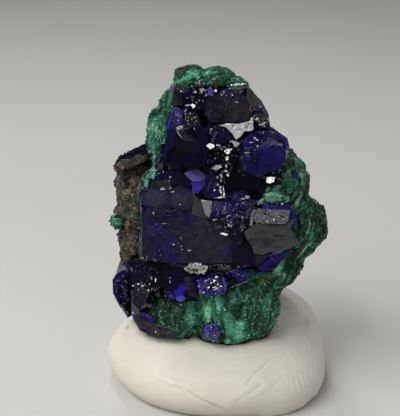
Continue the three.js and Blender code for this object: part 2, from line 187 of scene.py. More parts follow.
def arrays(body):
    """Corners and triangles of a bmesh, which is used up, and the middle of each one's face."""
    middle = body.faces.layers.float_vector.new("middle")
    for face in body.faces:
        face[middle] = face.calc_center_median()
    bmesh.ops.triangulate(body, faces=body.faces)
    loose = [corner for corner in body.verts if not corner.link_faces]
    bmesh.ops.delete(body, geom=loose, context="VERTS")
    body.verts.index_update()
    verts = np.array([corner.co for corner in body.verts])
    tris = np.array([[corner.index for corner in face.verts] for face in body.faces])
    middles = np.array([face[middle] for face in body.faces])
    body.free()
    return verts, tris, middles


def hull(corners):
    """The closed convex shape round the corners."""
    body = bmesh.new()
    for corner in corners:
        body.verts.new(corner)
    bmesh.ops.convex_hull(body, input=body.verts)
    bmesh.ops.recalc_face_normals(body, faces=body.faces)
    return arrays(body)[:2]


def remeshed(node, voxel, passes=3):
    """The node's solid as an even fine mesh in millimetres."""
    mesh = bpy.data.meshes.new("work")
    body = solid(node)
    body.to_mesh(mesh)
    body.free()
    worker = bpy.data.objects.new("work", mesh)
    bpy.context.scene.collection.objects.link(worker)
    even = worker.modifiers.new("even", "REMESH")
    even.mode = "VOXEL"
    even.voxel_size = voxel
    soft = worker.modifiers.new("soft", "SMOOTH")
    soft.iterations = passes
    graph = bpy.context.evaluated_depsgraph_get()
    made = bpy.data.meshes.new_from_object(worker.evaluated_get(graph))
    made.calc_loop_triangles()
    verts = np.empty(len(made.vertices) * 3)
    made.vertices.foreach_get("co", verts)
    tris = np.empty(len(made.loop_triangles) * 3, int)
    made.loop_triangles.foreach_get("vertices", tris)
    bpy.data.objects.remove(worker)
    bpy.data.meshes.remove(mesh)
    bpy.data.meshes.remove(made)
    return verts.reshape(-1, 3), tris.reshape(-1, 3)


def face_normals(verts, tris):
    a, b, c = (verts[tris[:, k]] for k in range(3))
    return np.cross(b - a, c - a)


def normals(verts, tris):
    """The mesh's direction at each corner."""
    faces = face_normals(verts, tris)
    total = np.stack(
        [
            sum(np.bincount(tris[:, k], faces[:, axis], len(verts)) for k in range(3))
            for axis in range(3)
        ],
        axis=1,
    )
    return unit(total)


def sampled(verts, tris, count, rng, weight=None):
    """Points spread at random over a mesh, with its direction at each."""
    faces = face_normals(verts, tris)
    share = np.linalg.norm(faces, axis=1)
    corners = verts[tris]
    if weight is not None:
        share = share * weight(corners.mean(axis=1), unit(faces))
    chosen = rng.choice(len(tris), count, p=share / share.sum())
    mix = rng.dirichlet((1, 1, 1), count)
    points = np.einsum("nk,nkd->nd", mix, corners[chosen])
    return points, unit(faces)[chosen]


def planted(shape, points, aims, lengths, widths, rng, sides=None):
    """One mesh of many copies of a shape, each with its own place, direction and size."""
    corners, faces = shape
    aims = unit(aims)
    leaning = rng.normal(size=aims.shape) if sides is None else sides
    side = unit(np.cross(aims, leaning))[:, None]
    other = np.cross(aims[:, None], side)
    across = corners[None, :, 0:1] * side + corners[None, :, 1:2] * other
    rise = corners[None, :, 2:3] * aims[:, None]
    verts = points[:, None] + across * widths[:, None, None] + rise * lengths[:, None, None]
    steps = np.arange(len(points))[:, None, None] * len(corners)
    return verts.reshape(-1, 3), (faces[None] + steps).reshape(-1, 3)


def part(verts, tris, smooth_faces=False, faces=None, **fields):
    """A part of a piece, with its named values at each corner and on each triangle."""
    return {
        "verts": verts,
        "tris": tris,
        "smooth": smooth_faces,
        "fields": fields,
        "faces": faces or {},
    }


def per_copy(values, shape, rise=0.0):
    """One value for each copy turned into one for each of its corners, more towards its tip."""
    tips = np.tile(shape[0][:, 2], len(values))
    return np.clip(np.repeat(values, len(shape[0])) + rise * (tips - 0.5), 0, 1)


def add_fields(mesh, parts, source, domain, counted):
    """Writes the parts' named values into the mesh, zero where a part has none."""
    for name in sorted(set().union(*(p[source] for p in parts))):
        wide = max(np.ndim(p[source][name]) for p in parts if name in p[source]) > 1
        blank = np.zeros(3) if wide else 0.0
        values = []
        for p in parts:
            shape = (len(p[counted]), 3) if wide else (len(p[counted]),)
            values.append(np.broadcast_to(p[source].get(name, blank), shape))
        kind = "FLOAT_VECTOR" if wide else "FLOAT"
        made = mesh.attributes.new(name, kind, domain)
        flat = np.concatenate(values).astype(np.float32).ravel()
        made.data.foreach_set("vector" if wide else "value", flat)


def piece(name, parts, material, slot, *nodes):
    """A shown object made of parts, standing for the frame's nodes."""
    starts = np.cumsum([0] + [len(p["verts"]) for p in parts[:-1]])
    verts = np.vstack([p["verts"] for p in parts]) * MM
    tris = np.vstack([p["tris"] + start for p, start in zip(parts, starts)])
    mesh = bpy.data.meshes.new(name)
    mesh.from_pydata(verts, [], tris)
    flags = np.concatenate([np.full(len(p["tris"]), p["smooth"]) for p in parts])
    mesh.polygons.foreach_set("use_smooth", flags)
    add_fields(mesh, parts, "fields", "POINT", "verts")
    add_fields(mesh, parts, "faces", "FACE", "tris")
    mesh.materials.append(material)
    mesh.update()
    shown = bpy.data.objects.new(name, mesh)
    bpy.context.scene.collection.objects.link(shown)
    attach(shown, "root")
    if nodes:
        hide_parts(*nodes)
    return shown


# Small shapes to plant: a needle, a wedge-ended crystal, a flat block and a grain

NEEDLE = hull([(1, 0, 0), (-0.5, 0.8, 0), (-0.5, -0.8, 0), (0, 0, 1)])
WEDGE = hull(
    [(x, y, z) for x, y in ((1, 0), (0.5, 0.55), (-0.5, 0.55)) for z in (-0.3, 0.7)]
    + [(x, y, z) for x, y in ((-1, 0), (-0.5, -0.55), (0.5, -0.55)) for z in (-0.3, 0.6)]
    + [(0.35, 0.1, 1), (-0.3, 0.15, 0.93)]
)
BLOCK = hull(
    [(1, -0.4, z) for z in (-1, 0.55)]
    + [(0.75, 0.7, z) for z in (-1, 0.5)]
    + [(-0.65, 0.8, z) for z in (-1, 0.6)]
    + [(-1, -0.3, z) for z in (-1, 0.5)]
    + [(0.1, -0.85, z) for z in (-1, 0.6)]
    + [(0.72, -0.3, 1), (0.5, 0.5, 1), (-0.5, 0.55, 1), (-0.72, -0.2, 1), (0, -0.6, 1)]
)
GRAIN = hull(
    [(1, 0.1, 0), (-0.9, 0.2, 0.1), (0.1, 1, -0.1), (-0.1, -0.9, 0.1), (0.2, 0.1, 0.8)]
    + [(-0.1, 0, -0.8)]
)


# Materials


def node(tree, kind, inputs=(), **settings):
    made = tree.nodes.new(kind)
    for key, value in settings.items():
        setattr(made, key, value)
    for key, value in dict(inputs).items():
        socket = made.inputs[key]
        if isinstance(value, bpy.types.NodeSocket):
            tree.links.new(value, socket)
        else:
            socket.default_value = value
    return made


def new_material(name, **constants):
    """A material with one shader, whose constant values stand on its own sockets."""
    made = bpy.data.materials.new(name)
    made.use_nodes = True
    tree = made.node_tree
    shader = tree.nodes["Principled BSDF"]
    for key, value in constants.items():
        shader.inputs[key.replace("_", " ").title().replace("Ior", "IOR")].default_value = value
    place = node(tree, "ShaderNodeTexCoord").outputs["Object"]
    place = node(
        tree, "ShaderNodeVectorMath", {0: place, "Scale": 1 / MM}, operation="SCALE"
    ).outputs[0]
    return made, tree, shader, place


def field(tree, name):
    return node(tree, "ShaderNodeAttribute", attribute_name=name).outputs["Fac"]


def maths(tree, operation, *values):
    return node(
        tree, "ShaderNodeMath", dict(enumerate(values)), operation=operation
    ).outputs[0]


def ramp(tree, factor, stops):
    """Colours or grays along a factor. A stop is (place, colour)."""
    made = node(tree, "ShaderNodeValToRGB", {0: factor})
    elements = made.color_ramp.elements
    while len(elements) < len(stops):
        elements.new(0.5)
    for element, (place, colour) in zip(elements, stops):
        element.position = place
        element.color = (*colour, 1) if len(colour) == 3 else (colour[0],) * 3 + (1,)
    return made.outputs[0]


def mixed(tree, factor, first, second, blend="MIX"):
    made = node(tree, "ShaderNodeMix", data_type="RGBA", blend_type=blend)
    for key, value in ((0, factor), (6, first), (7, second)):
        if isinstance(value, bpy.types.NodeSocket):
            tree.links.new(value, made.inputs[key])
        else:
            made.inputs[key].default_value = value
    return made.outputs[2]


def texture(tree, kind, place, scale, **inputs):
    values = {"Vector": place, "Scale": scale}
    values.update({key.title(): value for key, value in inputs.items()})
    return node(tree, f"ShaderNodeTex{kind}", values)


def turned_by(tree, normal, colour, amount):
    """Turns the surface by a colour, whose middle gray leaves it as it is."""
    centred = node(
        tree, "ShaderNodeVectorMath", {0: colour, 1: (0.5, 0.5, 0.5)}, operation="SUBTRACT"
    ).outputs[0]
    turned = node(
        tree, "ShaderNodeVectorMath", {0: centred, "Scale": amount}, operation="SCALE"
    ).outputs[0]
    return node(tree, "ShaderNodeVectorMath", {0: normal, 1: turned}, operation="ADD").outputs[0]


def azurite_material(name):
    made, tree, shader, place = new_material(name, ior=1.75)
    blue = field(tree, "blue")
    haze = field(tree, "haze")
    spark = field(tree, "spark")
    wild = maths(tree, "SUBTRACT", 1.0, field(tree, "calm"))
    cloud = texture(tree, "Noise", place, 0.8, detail=6.0).outputs[0]
    depth = maths(tree, "MULTIPLY_ADD", cloud, 0.9, maths(tree, "SUBTRACT", blue, 0.4))
    colour = ramp(
        tree,
        depth,
        [
            (0.0, (0.0010, 0.0014, 0.0060)),
            (0.25, (0.0024, 0.0022, 0.0240)),
            (0.6, (0.0080, 0.0050, 0.0950)),
            (1.0, (0.0240, 0.0130, 0.3000)),
        ],
    )
    brown = texture(tree, "Noise", place, 0.5, detail=3.0).outputs[0]
    brown = ramp(tree, brown, [(0.45, (0.0,)), (0.7, (1.0,))])
    brown = maths(tree, "MULTIPLY", brown, maths(tree, "ADD", field(tree, "brown"), 0.3))
    colour = mixed(tree, brown, colour, (0.020, 0.012, 0.020, 1))
    # Dust and painted sheen: a pale purple-gray speckle, stronger where the face is hazy, for dust
    # and for the light a rough face scatters.
    dust_and_painted_sheen = texture(tree, "Noise", place, 5.0, detail=5.0).outputs[0]
    dust_and_painted_sheen = ramp(tree, dust_and_painted_sheen, [(0.5, (0.0,)), (0.75, (1.0,))])
    dust_and_painted_sheen = maths(tree, "MULTIPLY", dust_and_painted_sheen, maths(tree, "MULTIPLY_ADD", haze, 0.08, 0.004))
    colour = mixed(tree, dust_and_painted_sheen, colour, (0.3, 0.3, 0.42, 1))
    colour = mixed(tree, field(tree, "plum"), colour, (0.014, 0.010, 0.018, 1))
    # Painted sheen: a pale haze where the great plate's frosted face scatters the soft light.
    colour = mixed(tree, field(tree, "veil"), colour, (0.038, 0.040, 0.070, 1))
    # Pale: the own whitish colour of druse crystals, and painted reflection on faces that mirror a
    # light.
    colour = mixed(tree, field(tree, "pale"), colour, (0.8, 0.8, 0.76, 1))
    tree.links.new(colour, shader.inputs["Base Color"])
    normal = node(tree, "ShaderNodeNewGeometry").outputs["Normal"]
    turn = node(tree, "ShaderNodeAttribute", attribute_name="turn").outputs["Vector"]
    turned = node(tree, "ShaderNodeVectorMath", {0: normal, 1: turn}, operation="ADD").outputs[0]
    waves = texture(tree, "Noise", place, 0.55, detail=1.0).outputs["Color"]
    turned = turned_by(tree, turned, waves, maths(tree, "MULTIPLY", wild, 0.2))
    mottle = texture(tree, "Noise", place, 3.5, detail=2.0).outputs["Color"]
    turned = turned_by(tree, turned, mottle, maths(tree, "MULTIPLY", wild, 0.1))
    cell = texture(tree, "Voronoi", place, 6.5).outputs["Color"]
    chance = node(tree, "ShaderNodeSeparateColor", {0: cell}).outputs[2]
    few = maths(tree, "LESS_THAN", chance, maths(tree, "MULTIPLY", spark, 0.12))
    turned = turned_by(tree, turned, cell, maths(tree, "MULTIPLY", few, 1.1))
    turned = node(tree, "ShaderNodeVectorMath", {0: turned}, operation="NORMALIZE").outputs[0]
    lines = node(
        tree,
        "ShaderNodeMapping",
        {0: place, "Rotation": (0.0, 0.5, 0.2), "Scale": (9, 9, 0.9)},
    ).outputs[0]
    streaks = texture(tree, "Noise", lines, 1.0, detail=3.0).outputs[0]
    bumped = node(
        tree,
        "ShaderNodeBump",
        {"Strength": 0.25, "Distance": 0.00006, "Height": streaks, "Normal": turned},
    ).outputs[0]
    tree.links.new(bumped, shader.inputs["Normal"])
    dust = texture(tree, "Noise", place, 2.6, detail=6.0).outputs[0]
    dusty = maths(tree, "MULTIPLY", haze, maths(tree, "MULTIPLY", dust, 0.9))
    tree.links.new(maths(tree, "ADD", dusty, 0.06), shader.inputs["Roughness"])
    return made


def malachite_material(name):
    made, tree, shader, place = new_material(name, ior=1.6, specular_ior_level=0.2)
    mint = field(tree, "mint")
    tint = field(tree, "tint")
    cloud = texture(tree, "Noise", place, 1.3, detail=5.0).outputs[0]
    fine = texture(tree, "Noise", place, 9.0, detail=3.0).outputs[0]
    shade = maths(tree, "MULTIPLY_ADD", cloud, 0.5, maths(tree, "SUBTRACT", tint, 0.25))
    dark = ramp(
        tree,
        shade,
        [
            (0.02, (0.001, 0.004, 0.003)),
            (0.25, (0.007, 0.034, 0.018)),
            (0.5, (0.020, 0.120, 0.058)),
            (0.75, (0.07, 0.30, 0.16)),
            (1.0, (0.30, 0.60, 0.42)),
        ],
    )
    light = ramp(
        tree,
        shade,
        [
            (0.0, (0.01, 0.12, 0.07)),
            (0.3, (0.05, 0.36, 0.21)),
            (0.65, (0.2, 0.68, 0.45)),
            (1.0, (0.55, 0.92, 0.74)),
        ],
    )
    colour = mixed(tree, mint, dark, light)
    colour = mixed(tree, field(tree, "olive"), colour, (1.3, 0.8, 0.4, 1), "MULTIPLY")
    tree.links.new(colour, shader.inputs["Base Color"])
    bumped = node(
        tree, "ShaderNodeBump", {"Strength": 0.5, "Distance": 0.0001, "Height": fine}
    ).outputs[0]
    tree.links.new(bumped, shader.inputs["Normal"])
    tree.links.new(maths(tree, "MULTIPLY_ADD", fine, 0.5, 0.15), shader.inputs["Roughness"])
    return made


def matrix_material(name):
    made, tree, shader, place = new_material(name)
    ochre = field(tree, "ochre")
    green = field(tree, "green")
    pit = field(tree, "pit")
    cloud = texture(tree, "Noise", place, 1.3, detail=6.0).outputs[0]
    speck = texture(tree, "Noise", place, 7.0, detail=3.0).outputs[0]
    brown = ramp(
        tree,
        maths(tree, "MULTIPLY_ADD", speck, 0.55, maths(tree, "MULTIPLY", cloud, 0.5)),
        [
            (0.42, (0.004, 0.003, 0.002)),
            (0.50, (0.020, 0.015, 0.009)),
            (0.57, (0.07, 0.054, 0.030)),
            (0.68, (0.24, 0.19, 0.12)),
        ],
    )
    rust = ramp(tree, speck, [(0.35, (0.05, 0.016, 0.006)), (0.7, (0.24, 0.1, 0.035))])
    moss = ramp(tree, speck, [(0.35, (0.01, 0.03, 0.015)), (0.7, (0.07, 0.14, 0.06))])
    colour = mixed(tree, ochre, brown, rust)
    colour = mixed(tree, green, colour, moss)
    # Near black where pit is set: painted shade in the pits and recesses, and the own colour of the
    # dark crumbs.
    colour = mixed(tree, pit, colour, (0.004, 0.003, 0.003, 1))
    tree.links.new(colour, shader.inputs["Base Color"])
    bumped = node(
        tree, "ShaderNodeBump", {"Strength": 0.6, "Distance": 0.00012, "Height": speck}
    ).outputs[0]
    tree.links.new(bumped, shader.inputs["Normal"])
    tree.links.new(maths(tree, "MULTIPLY_ADD", cloud, 0.4, 0.5), shader.inputs["Roughness"])
    return made


def putty_material(name):
    made, tree, shader, place = new_material(
        name, subsurface_weight=0.25, subsurface_scale=0.0012, ior=1.45
    )
    shader.inputs["Subsurface Radius"].default_value = (1.0, 0.75, 0.5)
    cloud = texture(tree, "Noise", place, 0.16, detail=5.0).outputs[0]
    grime = field(tree, "grime")
    white = ramp(tree, cloud, [(0.3, (0.66, 0.62, 0.53)), (0.7, (0.74, 0.71, 0.63))])
    # Darker for mottled dirt and a pressed-in black crumb, and for painted contact shade round the
    # stone.
    tree.links.new(
        mixed(tree, grime, white, (0.08, 0.075, 0.06, 1)), shader.inputs["Base Color"]
    )
    grainy = texture(tree, "Noise", place, 3.5, detail=6.0).outputs[0]
    bumped = node(
        tree, "ShaderNodeBump", {"Strength": 0.25, "Distance": 0.00005, "Height": grainy}
    ).outputs[0]
    tree.links.new(bumped, shader.inputs["Normal"])
    tree.links.new(maths(tree, "MULTIPLY_ADD", cloud, 0.2, 0.42), shader.inputs["Roughness"])
    return made


AZURITE = azurite_material("azurite_dark_blue")
MALACHITE = malachite_material("malachite_green")
IRON = matrix_material("iron_oxide_brown")
PUTTY = putty_material("putty_white")

# Azurite crystals

BEVEL = 0.035  # worn edges between crystal faces
TERRACE_AREA = 2.0  # faces larger than this get growth steps
STEP_HEIGHT = 0.035
STEP_LINES = 3  # lines along each direction, between which the steps lie
STEP_ROOT = 0.02  # how far a step reaches into its face
MOST_STEPS = 4
MOST_SEEN = 0.35  # faces turned to the camera more than this get lower steps
SEEN_HEIGHT = 0.35  # how much lower

BLUE_PATCHES = [
    ((3.3, -4.0, 20.0), 2.0, 0.5),
    ((3.3, -2.8, 21.6), 1.6, 0.6),
    ((5.0, -2.0, 19.8), 1.5, 0.6),
    ((-0.5, -2.5, 24.8), 0.5, 1.0),
    ((0.5, -2.4, 24.8), 0.5, 0.9),
    ((-3.3, -2.2, 22.7), 0.8, 1.0),
    ((-3.0, -3.0, 22.6), 0.6, 0.7),
    ((-1.6, -4.2, 18.5), 1.2, 1.0),
    ((-0.5, -3.8, 17.7), 1.0, 0.7),
    ((-0.8, -3.2, 19.4), 0.9, 0.6),
    ((1.6, -5.0, 16.6), 1.5, 0.3),
    ((5.9, -2.8, 14.8), 1.2, 1.0),
    ((-4.0, -3.5, 17.5), 1.6, 0.5),
    ((-2.9, -4.0, 18.0), 1.0, 0.4),
    ((-5.1, -4.8, 15.1), 1.6, 0.5),
    ((-4.0, -5.2, 13.7), 1.6, 0.4),
    ((4.4, -4.2, 12.0), 1.4, 0.9),
    ((1.7, -4.2, 11.3), 1.2, 0.9),
    ((-8.2, -1.0, 8.4), 1.2, 0.9),
    ((-8.0, -1.2, 9.3), 1.2, 0.9),
    ((-3.1, -5.0, 9.2), 0.8, 1.2),
    ((-5.7, -3.0, 6.5), 1.2, 0.7),
]
HAZE_PATCHES = [
    ((-4.0, -3.6, 17.6), 2.2, 0.6),
    ((4.0, -4.7, 14.2), 2.0, 0.35),
    ((4.2, -4.0, 15.5), 1.4, 0.4),
]
# Faces that lean back (or forward) a little more than their solid does
LEAN_PATCHES = [
    ((3.3, -4.0, 19.9), 1.9, 0.22),
    ((-2.7, -4.9, 10.1), 1.8, 0.25),
    ((2.4, -2.2, 18.0), 2.2, 0.3),
    ((-1.9, -5.0, 13.5), 4.5, 0.12),
]
SPARK_PATCHES = [
    ((0.2, -3.3, 19.8), 1.9, 0.8),
    ((-1.7, -4.6, 11.6), 0.9, 0.9),
    ((0.2, -5.0, 11.5), 1.3, 0.9),
    ((1.4, -5.0, 16.0), 1.5, 0.3),
    ((4.0, -4.0, 15.4), 1.3, 0.35),
    ((-6.5, -2.5, 9.5), 2.4, 0.35),
    ((3.3, -3.0, 21.4), 1.2, 0.4),
]


def with_borders(faces):
    """The faces with their edges and corners, each once and always in the same order."""
    borders = (part for face in faces for part in (*face.edges, *face.verts))
    return faces + list(dict.fromkeys(borders))


def cut(polygon, place, across):
    """A convex polygon's parts before and behind a plane."""
    sides = (polygon - place) @ across
    before, behind = [], []
    for k, corner in enumerate(polygon):
        if sides[k] <= 0:
            before.append(corner)
        if sides[k] >= 0:
            behind.append(corner)
        following = (k + 1) % len(polygon)
        if sides[k] * sides[following] < 0:
            share = sides[k] / (sides[k] - sides[following])
            crossing = corner + share * (polygon[following] - corner)
            before.append(crossing)
            behind.append(crossing)
    return np.array(before), np.array(behind)


def prism(bottom, top, middle):
    """A closed block between two outlines, as corners, triangles and the middles of its faces."""
    count = len(top)
    verts = np.vstack([bottom, top])
    tris, middles = [], []
    for k in range(1, count - 1):
        tris += [(0, k + 1, k), (count, count + k, count + k + 1)]
        middles += [middle, middle]
    for k in range(count):
        following = (k + 1) % count
        tris += [(k, following, count + following), (k, count + following, count + k)]
        middles += [(top[k] + top[following]) / 2] * 2
    return verts, np.array(tris), np.array(middles)


def growth_steps(face, rng):
    """Low blocks that lie on a flat face, with edges along two of its directions."""
    corners = np.array([corner.co for corner in face.verts])
    normal = np.array(face.normal)
    middle = corners.mean(axis=0)
    edges = np.roll(corners, -1, axis=0) - corners
    along = unit(edges[np.linalg.norm(edges, axis=1).argmax()])
    side = np.cross(normal, along)
    reach = np.linalg.norm(corners - middle, axis=1).max()
    pieces = tessellate_polygon([[Vector(corner) for corner in corners]])
    pieces = [((), corners[list(tri)]) for tri in pieces]
    slant = math.radians(rng.uniform(48, 72))
    for turn in (0.0, slant):
        across = math.cos(turn) * side - math.sin(turn) * along
        for _ in range(STEP_LINES):
            place = middle + across * reach * rng.uniform(-0.8, 0.8)
            halves = [(key, cut(polygon, place, across)) for key, polygon in pieces]
            pieces = [
                (key + (number,), half)
                for key, parts in halves
                for number, half in enumerate(parts)
                if len(half) > 2
            ]
    seed = int(rng.integers(1000))
    lean = rng.normal(0, 0.4, 2)
    heights = np.cumsum(STEP_HEIGHT * rng.uniform(0.5, 1.3, MOST_STEPS))
    if normal @ VIEW_BACK > MOST_SEEN:
        heights *= SEEN_HEIGHT
    blocks = []
    for key in sorted({key for key, _ in pieces}):
        group = [polygon for other, polygon in pieces if other == key]
        centre = np.vstack(group).mean(axis=0)
        amount = noise3(centre[None], max(0.8, reach * 0.9), seed)[0]
        level = min(MOST_STEPS, int(2.2 + 3.0 * amount))
        if level < 1:
            continue
        for polygon in group:
            offset = (polygon - middle) / reach
            slope = np.maximum(0.1, 1 + lean[0] * offset @ along + lean[1] * offset @ side)
            if np.cross(*(polygon[1:3] - polygon[0])) @ normal < 0:
                polygon, slope = polygon[::-1], slope[::-1]
            top = polygon + normal * heights[level - 1] * slope[:, None]
            blocks.append(prism(polygon - normal * STEP_ROOT, top, centre))
    return blocks


def sharp_edges(body, angle, length=0.0):
    return [
        edge
        for edge in body.edges
        if edge.is_manifold
        and edge.calc_face_angle() > math.radians(angle)
        and edge.calc_length() > length
    ]


def edge_places(node_name, spacing, rng):
    """Places along the edges between crystal faces, with the direction of one face at each."""
    body = solid(node_name)
    places, aims, sides = [], [], []
    for edge in sharp_edges(body, 20):
        start, end = (corner.co for corner in edge.verts)
        for _ in range(rng.poisson((end - start).length / spacing)):
            face = edge.link_faces[rng.integers(2)]
            inward = (face.calc_center_median() - start).normalized()
            places.append(start.lerp(end, rng.random()) + inward * rng.uniform(0, 0.25))
            aims.append(face.normal)
            sides.append(end - start)
    body.free()
    return np.array(places), np.array(aims), np.array(sides)


def worker(name, verts, tris):
    mesh = bpy.data.meshes.new(name)
    mesh.from_pydata(verts, [], tris)
    made = bpy.data.objects.new(name, mesh)
    bpy.context.scene.collection.objects.link(made)
    return made


def chipped(body, spacing, rng):
    """Knocks small flat-sided chips off the edges that stick out."""
    places, sizes = [], []
    for edge in sharp_edges(body, 25, 0.3):
        if not edge.is_convex:
            continue
        outward = sum((face.normal for face in edge.link_faces), Vector()).normalized()
        start, end = (corner.co for corner in edge.verts)
        for _ in range(rng.poisson((end - start).length / spacing)):
            size = 0.14 + 0.5 * rng.random() ** 2
            places.append(start.lerp(end, rng.random()) + outward * size * 0.62)
            sizes.append(size)
    sizes = np.array(sizes)
    aims = rng.normal(size=(len(sizes), 3))
    chips = planted(GRAIN, np.array(places), aims, sizes, sizes * 1.3, rng)
    stone = worker("stone", *arrays(body)[:2])
    cutter = worker("chips", *chips)
    cut = stone.modifiers.new("cut", "BOOLEAN")
    cut.object = cutter
    cut.operation = "DIFFERENCE"
    cut.solver = "EXACT"
    cut.use_self = True
    graph = bpy.context.evaluated_depsgraph_get()
    made = bpy.data.meshes.new_from_object(stone.evaluated_get(graph))
    result = bmesh.new()
    result.from_mesh(made)
    for used in (stone, cutter):
        bpy.data.meshes.remove(used.data)
    bpy.data.meshes.remove(made)
    bmesh.ops.remove_doubles(result, verts=result.verts, dist=WELD)
    bmesh.ops.dissolve_limit(
        result, angle_limit=FLAT_ANGLE, verts=result.verts, edges=result.edges
    )
    return result


def crystal_part(node_name, spacing, rng):
    """The node's crystals with chipped and worn edges and growth steps."""
    body = chipped(solid(node_name), spacing, rng)
    original = body.copy()
    bmesh.ops.bevel(
        body,
        geom=sharp_edges(body, 14, 4 * BEVEL),
        offset=BEVEL,
        offset_type="OFFSET",
        segments=1,
        affect="EDGES",
        clamp_overlap=True,
    )
    body.normal_update()
    pulled_back(body, original)
    body = settled(body)
    large = [face for face in body.faces if face.calc_area() > TERRACE_AREA]
    blocks = [block for face in large for block in growth_steps(face, rng)]
    meshes = [arrays(body)] + blocks
    starts = np.cumsum([0] + [len(mesh[0]) for mesh in meshes[:-1]])
    verts = np.vstack([mesh[0] for mesh in meshes])
    tris = np.vstack([mesh[1] + start for mesh, start in zip(meshes, starts)])
    return verts, tris, np.vstack([mesh[2] for mesh in meshes])


def settled(body):
    """The same body with its faces in the order of their places, the same in each run."""
    rings = []
    for face in body.faces:
        ring = [tuple(corner.co) for corner in face.verts]
        first = ring.index(min(ring))
        rings.append((ring[first:] + ring[:first], [*face.verts][first:] + [*face.verts][:first]))
    made = bmesh.new()
    copies = {}
    for _, corners in sorted(rings, key=lambda ring: ring[0]):
        for corner in corners:
            if corner not in copies:
                copies[corner] = made.verts.new(corner.co)
        made.faces.new([copies[corner] for corner in corners])
    made.normal_update()
    body.free()
    return made


def pulled_back(body, original):
    """Moves corners that the bevel threw off the original surface back onto it."""
    surface = BVHTree.FromBMesh(original)
    for corner in body.verts:
        nearest, _, _, gap = surface.find_nearest(corner.co)
        if gap > 2 * BEVEL:
            corner.co = nearest
    original.free()
    body.normal_update()


def azurite_faces(middles, rng, shake=0.05):
    """What each crystal face shows, by where the middle of its face lies."""
    count = len(middles)
    turn = rng.normal(0, shake, (count, 3))
    turn += patchy(middles, LEAN_PATCHES, 0.0)[:, None] * UP
    blue = patchy(middles, BLUE_PATCHES) + rng.normal(0, 0.07, count)
    return {
        "blue": np.clip(blue, 0, 1.1),
        "haze": patchy(middles, HAZE_PATCHES, 0.2, 60),
        "spark": patchy(middles, SPARK_PATCHES, 0.3, 70),
        "turn": turn,
    }


def shared(middles, faces):
    """Gives all triangles of one flat face the same values."""
    _, first, which = np.unique(
        np.round(middles, 4), axis=0, return_index=True, return_inverse=True
    )
    which = which.ravel()
    return {name: np.asarray(values)[first][which] for name, values in faces.items()}


def planted_azurite(shape, points, aims, lengths, widths, rng, sides=None, **more):
    """Copies of a small crystal, each with its own colour and sparkle."""
    verts, tris = planted(shape, points, aims, lengths, widths, rng, sides)
    faces = azurite_faces(points, rng)
    for name, value in more.items():
        faces[name] = np.broadcast_to(value, (len(points),))
    each = len(shape[1])
    faces = {name: np.repeat(values, each, axis=0) for name, values in faces.items()}
    return part(verts, tris, faces=faces)


def near(patches, floor=0.0):
    """A weight that favours the patches, for sampling."""

    def weight(centres, _):
        return floor + patchy(centres, patches, 0.2)

    return weight


DRUSE = [
    ((0.2, -3.3, 19.8), 1.9, 1.0),
    ((0.2, -3.2, 18.4), 1.0, 0.6),
    ((-1.7, -4.6, 11.5), 0.7, 1.2),
    ((0.3, -5.0, 11.4), 1.2, 1.2),
    ((-6.0, -3.0, 9.0), 1.8, 0.25),
]
# How faces of the azurite look. Their pale share lightens a face: on the faces that mirror a light,
# such as the ledge, gray and ash ones, it is painted reflection that adds to the light they mirror;
# on the chalk and frost druse it is mostly the crystals' own whitish colour.
LOOKS = {
    "black": {"blue": 0.0, "haze": 0.05},
    "ink": {"blue": 0.1, "haze": 0.15},
    "navy": {"blue": 0.25, "haze": 0.2},
    "blue": {"blue": 0.45, "haze": 0.2},
    "royal": {"blue": 0.7, "haze": 0.3},
    "violet": {"blue": 0.95, "haze": 0.4, "pale": 0.012},
    "lilac": {"blue": 0.9, "haze": 0.6, "pale": 0.05},
    "slate": {"blue": 0.2, "haze": 0.4, "pale": 0.008},
    "gray": {"blue": 0.0, "haze": 0.5, "pale": 0.04},
    "coal": {"blue": 0.05, "haze": 0.4, "brown": 0.5},
    "plate": {"blue": 0.24, "haze": 0.4},
    "plum": {"blue": 0.2, "haze": 0.4, "brown": 0.7},
    "umber": {"blue": 0.0, "haze": 0.5, "brown": 0.9},
    "ash": {"blue": 0.15, "haze": 0.8, "pale": 0.06},
    "frost": {"blue": 0.3, "haze": 0.6, "pale": 0.17},
    "chalk": {"blue": 0.0, "haze": 0.8, "pale": 0.95},
    "smoke": {"blue": 0.0, "haze": 0.1},
    "dusk": {"blue": 0.0, "haze": 0.7, "pale": 0.07},
    "moss": {"blue": 0.0, "haze": 0.9, "pale": 0.03},
    "shadow": {"blue": 0.0, "haze": 0.9, "pale": 0.019},
    "scratch": {"blue": 0.1, "haze": 0.7, "pale": 0.1},
    "ledge": {"blue": 0.2, "haze": 0.2, "pale": 0.17},
}
# How rough they are: the spacing of breaks along and across (mm), and how far they tilt (degrees)
SURFACES = {
    "plain": None,
    "mosaic": (0.55, 0.6, 1.2),
    "rough": (0.2, 0.28, 6.5),
    "sparkly": (0.15, 0.18, 17.0),
    "ribbed": (1.3, 0.13, 7.0),
    "streaked": (2.4, 0.2, 3.6),
}
# What they mirror: (azimuth, elevation)
MIRRORED = {
    "glint": GLINT_FROM,
    "spot": SPOT_FROM,
    "soft": SOFT_FROM,
    "dark": (8, 8),
    "edge": (0, 9),
    "left": (-62, 8),
    "right": (62, 14),
    "side": (95, 20),
}

